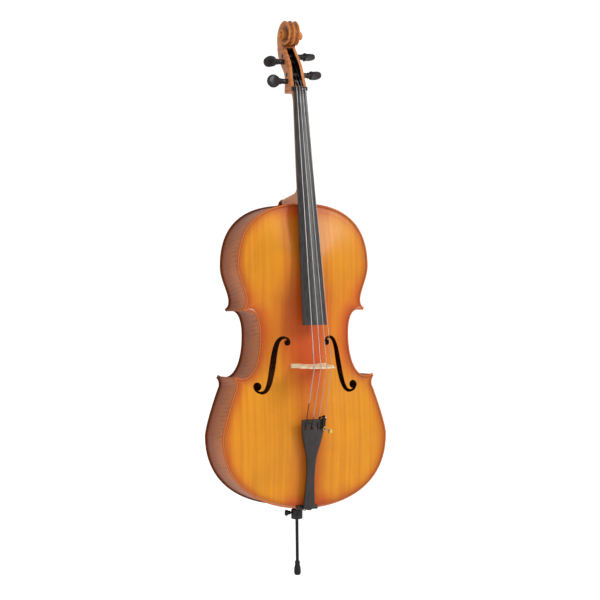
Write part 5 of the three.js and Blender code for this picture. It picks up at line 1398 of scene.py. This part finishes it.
def tuner():
    def turned_rings(profile, steps=40):
        turn = np.linspace(0, 2 * math.pi, steps + 1)[:-1]
        return [at_tuner([(r * math.cos(a), y, r * math.sin(a)) for a in turn]) for r, y in profile][::-1]

    plate = tuner_slab([(-6.2, -4.4), (-5.7, -5), (-4.2, -5), (-3.7, -4.4), (-3.7, 22), (-4.2, 22.5),
                        (-5.7, 22.5), (-6.2, 22)], 4.2)
    cheek = tuner_slab([(-8, 22.4), (-7.3, 21.6), (-4, 21.6), (1.6, 23.6), (2.5, 24.6), (2.6, 27),
                        (2.4, 28.6), (1, 29.5), (-3.6, 30), (-6.6, 28.6), (-8, 26.6)], 0.8, 0.25)
    sleeve = turned_rings([(1.9, -12), (2.5, -12), (2.7, -11.8), (2.7, 0), (2.7, 7.8), (2.5, 8), (1.9, 8)])
    made = joined("tuner_bracket_black", [plate, shifted(cheek, 3.4), shifted(cheek, -3.4), sleeve],
                  materials=[BLACK_STEEL], corner=35, replaced=("tuner_bracket",))
    pins = []
    for x, radius in ((-5, 1.5), (-4.6, 1.9), (-4.3, 1.9), (-4.3, 1), (4.3, 1), (4.3, 2.1), (5.2, 2.1),
                      (5.7, 1.7)):
        turn = np.linspace(0, 2 * math.pi, 25)[:-1]
        pins.append(at_tuner([(x, -1 + radius * math.sin(a), 26 + radius * math.cos(a)) for a in turn]))
    made = joined("tuner_pivot_pin", [pins], materials=[GILT], corner=35)
    made = tuner_turned("tuner_ring_nut", [
        (2.8, -9.6), (4.2, -9.6), (4.7, -9.3), (4.8, -8.9), (4.8, -7.2), (4.7, -6.8), (4.2, -6.6),
        (2.8, -6.6), (2.8, -9.6)], materials=[GILT], corner=35, replaced=("tuner_nut",))
    lever = [(-6.6, 30.6), (-6.2, 31.8), (-4, 33), (-2.2, 32.6), (0.5, 30.5), (3, 27.6), (6, 26.9),
             (13.6, 26.2), (15, 25.4), (15.6, 24), (15.6, -3.4), (15, -4), (13.8, -4), (13.2, -3.4),
             (13.2, 21.6), (12.2, 22.7), (3, 23.6), (-2, 23), (-4, 25), (-6, 25), (-6.6, 25.6)]
    fine = tuner_slab(lever, 2.2, 0.0)
    made = joined("tuner_lever_black", [fine], body="tuner_lever_tilting", materials=[BLACK_STEEL], corner=30,
                  replaced=("tuner_lever",))
    thread = [(0.8, -33.8), (1.5, -33.6)]
    for i in range(120):
        thread.append((1.6 if i % 2 else 1.35, -33.2 + i * 0.38))
    thread += [(1.4, 12.5), (0.7, 12.8)]
    made = tuner_turned("tuner_screw_thread", thread, 24, body="tuner_screw_shank", materials=[TUNER_STEEL],
                        corner=25, replaced=("tuner_screw",))
    knob = [(0.3, -39), (3.6, -38.95), (4.7, -38.5), (5.2, -37.8), (5.4, -36.9), (5.4, -33.6), (5.2, -32.6),
            (4.6, -31.8), (3.4, -31.3), (2.7, -30.9), (2.6, -30), (2.6, -28.8), (2.4, -28.5), (0.3, -28.5)]
    rings = []
    for radius, place in knob:
        turn = np.linspace(0, 2 * math.pi, 73)[:-1]
        ridge = 0.14 * np.cos(turn * 24) if radius > 5.3 else 0 * turn
        rings.append(at_tuner([((radius + e) * math.cos(a), place, (radius + e) * math.sin(a))
                               for a, e in zip(turn, ridge)]))
    made = lofted("tuner_knob_knurled", rings, flip=True, body="tuner_knob_turning", materials=[GILT],
                  corner=40, replaced=("tuner_knob",))


tuner()

# ---- Strings -----------------------------------------------------------------------------------------------
# Steel ropes wound with flat metal ribbon, tuned C, G, D and A, thickest first. Coloured silk covers the C, G
# and D strings where they bend over the fret, and every string from a little past the nut up to its peg; each
# runs to its peg and coils round it.

STRING_RADII = [1.05, 0.85, 0.65, 0.55]
BRIDGE_ACROSS = [16 * (i - 1.5) for i in range(4)]
WINDING_TURNS = 2.5


def string_finish():
    """Ribbon-wound steel, with silk where the mark says so."""
    material, shader, tree = finish("wound_string", 0.34, metal=0.85)
    silk = tree.mark("silk")
    turns = tree.math("MULTIPLY", tree.mark("along"), 2 * math.pi / 0.42)
    wave = tree.math("MULTIPLY", tree.math("ADD", tree.math("SINE", turns), 1.0), 0.5)
    place = tree.add("ShaderNodeTexCoord").outputs["Object"]
    steel = tree.blend(tree.noise(place, (300, 300, 60), 3), tone(206, 204, 202), tone(176, 172, 168))
    steel = tree.blend(tree.math("MULTIPLY", wave, 0.25), steel, tone(120, 116, 112))
    colour = tree.blend(tree.between(silk, 0.4, 0.6), steel, tone(28, 22, 24))
    tree.tree.links.new(colour, shader.inputs["Base Color"])
    tree.tree.links.new(tree.between(silk, 0.4, 0.6, 0.85, 0.0), shader.inputs["Metallic"])
    tree.tree.links.new(tree.between(silk, 0.4, 0.6, 0.34, 0.75), shader.inputs["Roughness"])
    bump = tree.add("ShaderNodeBump", {"Height": wave, "Strength": 0.3, "Distance": 0.0001})
    tree.tree.links.new(bump.outputs[0], shader.inputs["Normal"])
    return material


WOUND_STRING = string_finish()


def string(i, name):
    side, back, up, _ = PEG_PLACES[name]
    radius = STRING_RADII[i]
    clear = 0.35 + radius
    coil = 6.9 + clear
    far = side * (float(pegbox_half(up)) - CHEEK_WALL * float(pegbox_half(up)) / 21 - 1.2 - radius)
    near = far - side * (2 * radius + 0.15) * WINDING_TURNS
    nut_top = board_top(NUT_ACROSS[i], NUT_LEVEL) - 2.2
    x = TAIL_ACROSS[i]
    if name == "a":
        start = [tuple(p) for p in at_tuner([(0, -8.95, 28), (0, -9.6, 33)])]
    else:
        start = [(x, FRONT_EDGE - tail_forward(HOLE_LEVEL) + 6, HOLE_LEVEL + 4.5),
                 (x, tail_face(x, HOLE_LEVEL) - 1.2, HOLE_LEVEL + 5.6),
                 (x, tail_face(x, FRET_LEVEL) - 1.6 - clear - 0.3, FRET_LEVEL)]
    stops = start + [
        (BRIDGE_ACROSS[i], bridge_top(BRIDGE_ACROSS[i]) - clear - 0.1, BRIDGE_LINE - 4),
        (NUT_ACROSS[i], nut_top - clear + 0.35, NUT_LEVEL + 3),
        (NUT_ACROSS[i], nut_top - clear + 0.9, NUT_LEVEL + 6),
        (NUT_ACROSS[i], nut_top + 5 - clear - 0.2, NUT_LEVEL + 10.6),
        (near, back - coil - radius - clear, NUT_LEVEL + up)]
    path, covered = [], []
    for a, b in zip(stops, stops[1:]):
        a, b = np.array(a), np.array(b)
        count = max(3, int(np.linalg.norm(b - a) / 12))
        for share in np.linspace(0, 1, count + 1)[:-1]:
            path.append(a + (b - a) * share)
    path.append(np.array(stops[-1]))
    path = np.array(path)
    silk_end = 262 if name == "c" else 232 if name in "gd" else 0
    covered = (path[:, 2] < silk_end) | (path[:, 2] > NUT_LEVEL + 26)
    made = tube(f"{name}_string_wound", path, radius, materials=[WOUND_STRING], replaced=(f"{name}_string",))
    layer = made.data.attributes.new("silk", "FLOAT", "POINT")
    silk = np.repeat(covered.astype(np.float32), 14)
    layer.data.foreach_set("value", silk)
    ball = [(0.2, -2), (1.4, -1.9), (2, -1.4), (2.1, 0), (2, 1.4), (1.4, 1.9), (0.2, 2)]
    turn = np.linspace(0, 2 * math.pi, 25)[:-1]
    centre = np.array(start[0])
    rings = [centre + np.column_stack([np.full(24, place), wide * np.cos(turn), wide * np.sin(turn)])
             for wide, place in ball]
    made = lofted(f"{name}_string_ball", rings, flip=False, materials=[TUNER_STEEL], corner=40)
    turns = np.linspace(0, 1, 110)
    angle = 0.12 + turns * 2 * math.pi * WINDING_TURNS
    helix = np.column_stack([mix(near, far, turns), back - coil * np.cos(angle),
                             NUT_LEVEL + up + coil * np.sin(angle)])
    made = tube(f"{name}_string_coil", helix, radius, sides=12, body=f"{name}_peg_turning",
                materials=[WOUND_STRING], replaced=(f"{name}_string_winding",))
    layer = made.data.attributes.new("silk", "FLOAT", "POINT")
    layer.data.foreach_set("value", np.ones(len(made.data.vertices), np.float32))


for i, name in enumerate(STRING_NAMES):
    string(i, name)

# ---- Camera, floor and light -------------------------------------------------------------------------------
# A pale floor under the endpin's foot, in an even white surround, both brighter to the camera than they are
# as lights. A tall window of light stands at the front right and a weaker, wider one at the front left.

CAMERA_PLACE = (-1.9246, -4.5974, 0.6801)
CAMERA_TURN = (22.88, 0.087, -0.679)  # degrees of yaw, pitch and roll
LENS, SENSOR = 119.5, 36
FLOOR_HALF = 40
FLOOR_GLOW = (0.12, 0.66)  # as it lights the cello, and as the camera sees it
SURROUND_GLOW = (0.5, 1.1)


def studio_camera():
    yaw, pitch, roll = (math.radians(angle) for angle in CAMERA_TURN)
    ahead = Vector((math.sin(yaw) * math.cos(pitch), math.cos(yaw) * math.cos(pitch), math.sin(pitch)))
    right = Vector((math.cos(yaw), -math.sin(yaw), 0))
    above = right.cross(ahead)
    across = right * math.cos(roll) + above * math.sin(roll)
    above = above * math.cos(roll) - right * math.sin(roll)
    camera = bpy.data.objects.new("studio_camera", bpy.data.cameras.new("studio_camera"))
    turned = Matrix((across, above, -ahead)).transposed().to_4x4()
    camera.matrix_world = Matrix.Translation(CAMERA_PLACE) @ turned
    camera.data.lens = LENS
    camera.data.sensor_width = SENSOR
    bpy.context.scene.collection.objects.link(camera)
    bpy.context.scene.camera = camera


def soft_light(name, place, target, size, power, colour=(1, 1, 1)):
    lamp = bpy.data.lights.new(name, "AREA")
    lamp.shape = "RECTANGLE"
    lamp.size, lamp.size_y = size
    lamp.energy = power
    lamp.color = colour
    light = bpy.data.objects.new(name, lamp)
    light.location = place
    light.rotation_mode = "QUATERNION"
    light.rotation_quaternion = (Vector(target) - Vector(place)).to_track_quat("-Z", "Y")
    bpy.context.scene.collection.objects.link(light)


def floor_and_surround():
    mesh = bpy.data.meshes.new("floor")
    corners = [(-FLOOR_HALF, -FLOOR_HALF, 0), (FLOOR_HALF, -FLOOR_HALF, 0), (FLOOR_HALF, FLOOR_HALF, 0),
               (-FLOOR_HALF, FLOOR_HALF, 0)]
    mesh.from_pydata(corners, [], [(0, 1, 2, 3)])
    floor = bpy.data.objects.new("floor", mesh)
    bpy.context.scene.collection.objects.link(floor)
    material, shader, tree = finish("floor_paper", 0.9, specular=0.2)
    place = tree.add("ShaderNodeTexCoord").outputs["Object"]
    colour = tree.blend(tree.noise(place, (1, 1, 1), 2), (0.93, 0.93, 0.93, 1), (0.96, 0.96, 0.96, 1))
    tree.tree.links.new(colour, shader.inputs["Base Color"])
    tree.tree.links.new(colour, shader.inputs["Emission Color"])
    seen = tree.add("ShaderNodeLightPath").outputs["Is Camera Ray"]
    tree.tree.links.new(tree.between(seen, 0, 1, *FLOOR_GLOW), shader.inputs["Emission Strength"])
    mesh.materials.append(material)
    world = bpy.data.worlds.new("white_surround")
    world.use_nodes = True
    tree = Tree(world.node_tree)
    seen = tree.add("ShaderNodeLightPath").outputs["Is Camera Ray"]
    backdrop = world.node_tree.nodes["Background"]
    backdrop.inputs["Color"].default_value = (1, 1, 1, 1)
    tree.tree.links.new(tree.between(seen, 0, 1, *SURROUND_GLOW), backdrop.inputs["Strength"])
    bpy.context.scene.world = world


studio_camera()
floor_and_surround()
soft_light("window_light", (2.2, -3.2, 2.6), (0, 0, 0.8), (1.0, 1.6), 80)
soft_light("fill_light", (-3.6, -2.4, 1.6), (0, 0, 0.7), (2.0, 2.0), 16)
bpy.context.scene.view_settings.view_transform = "Standard"
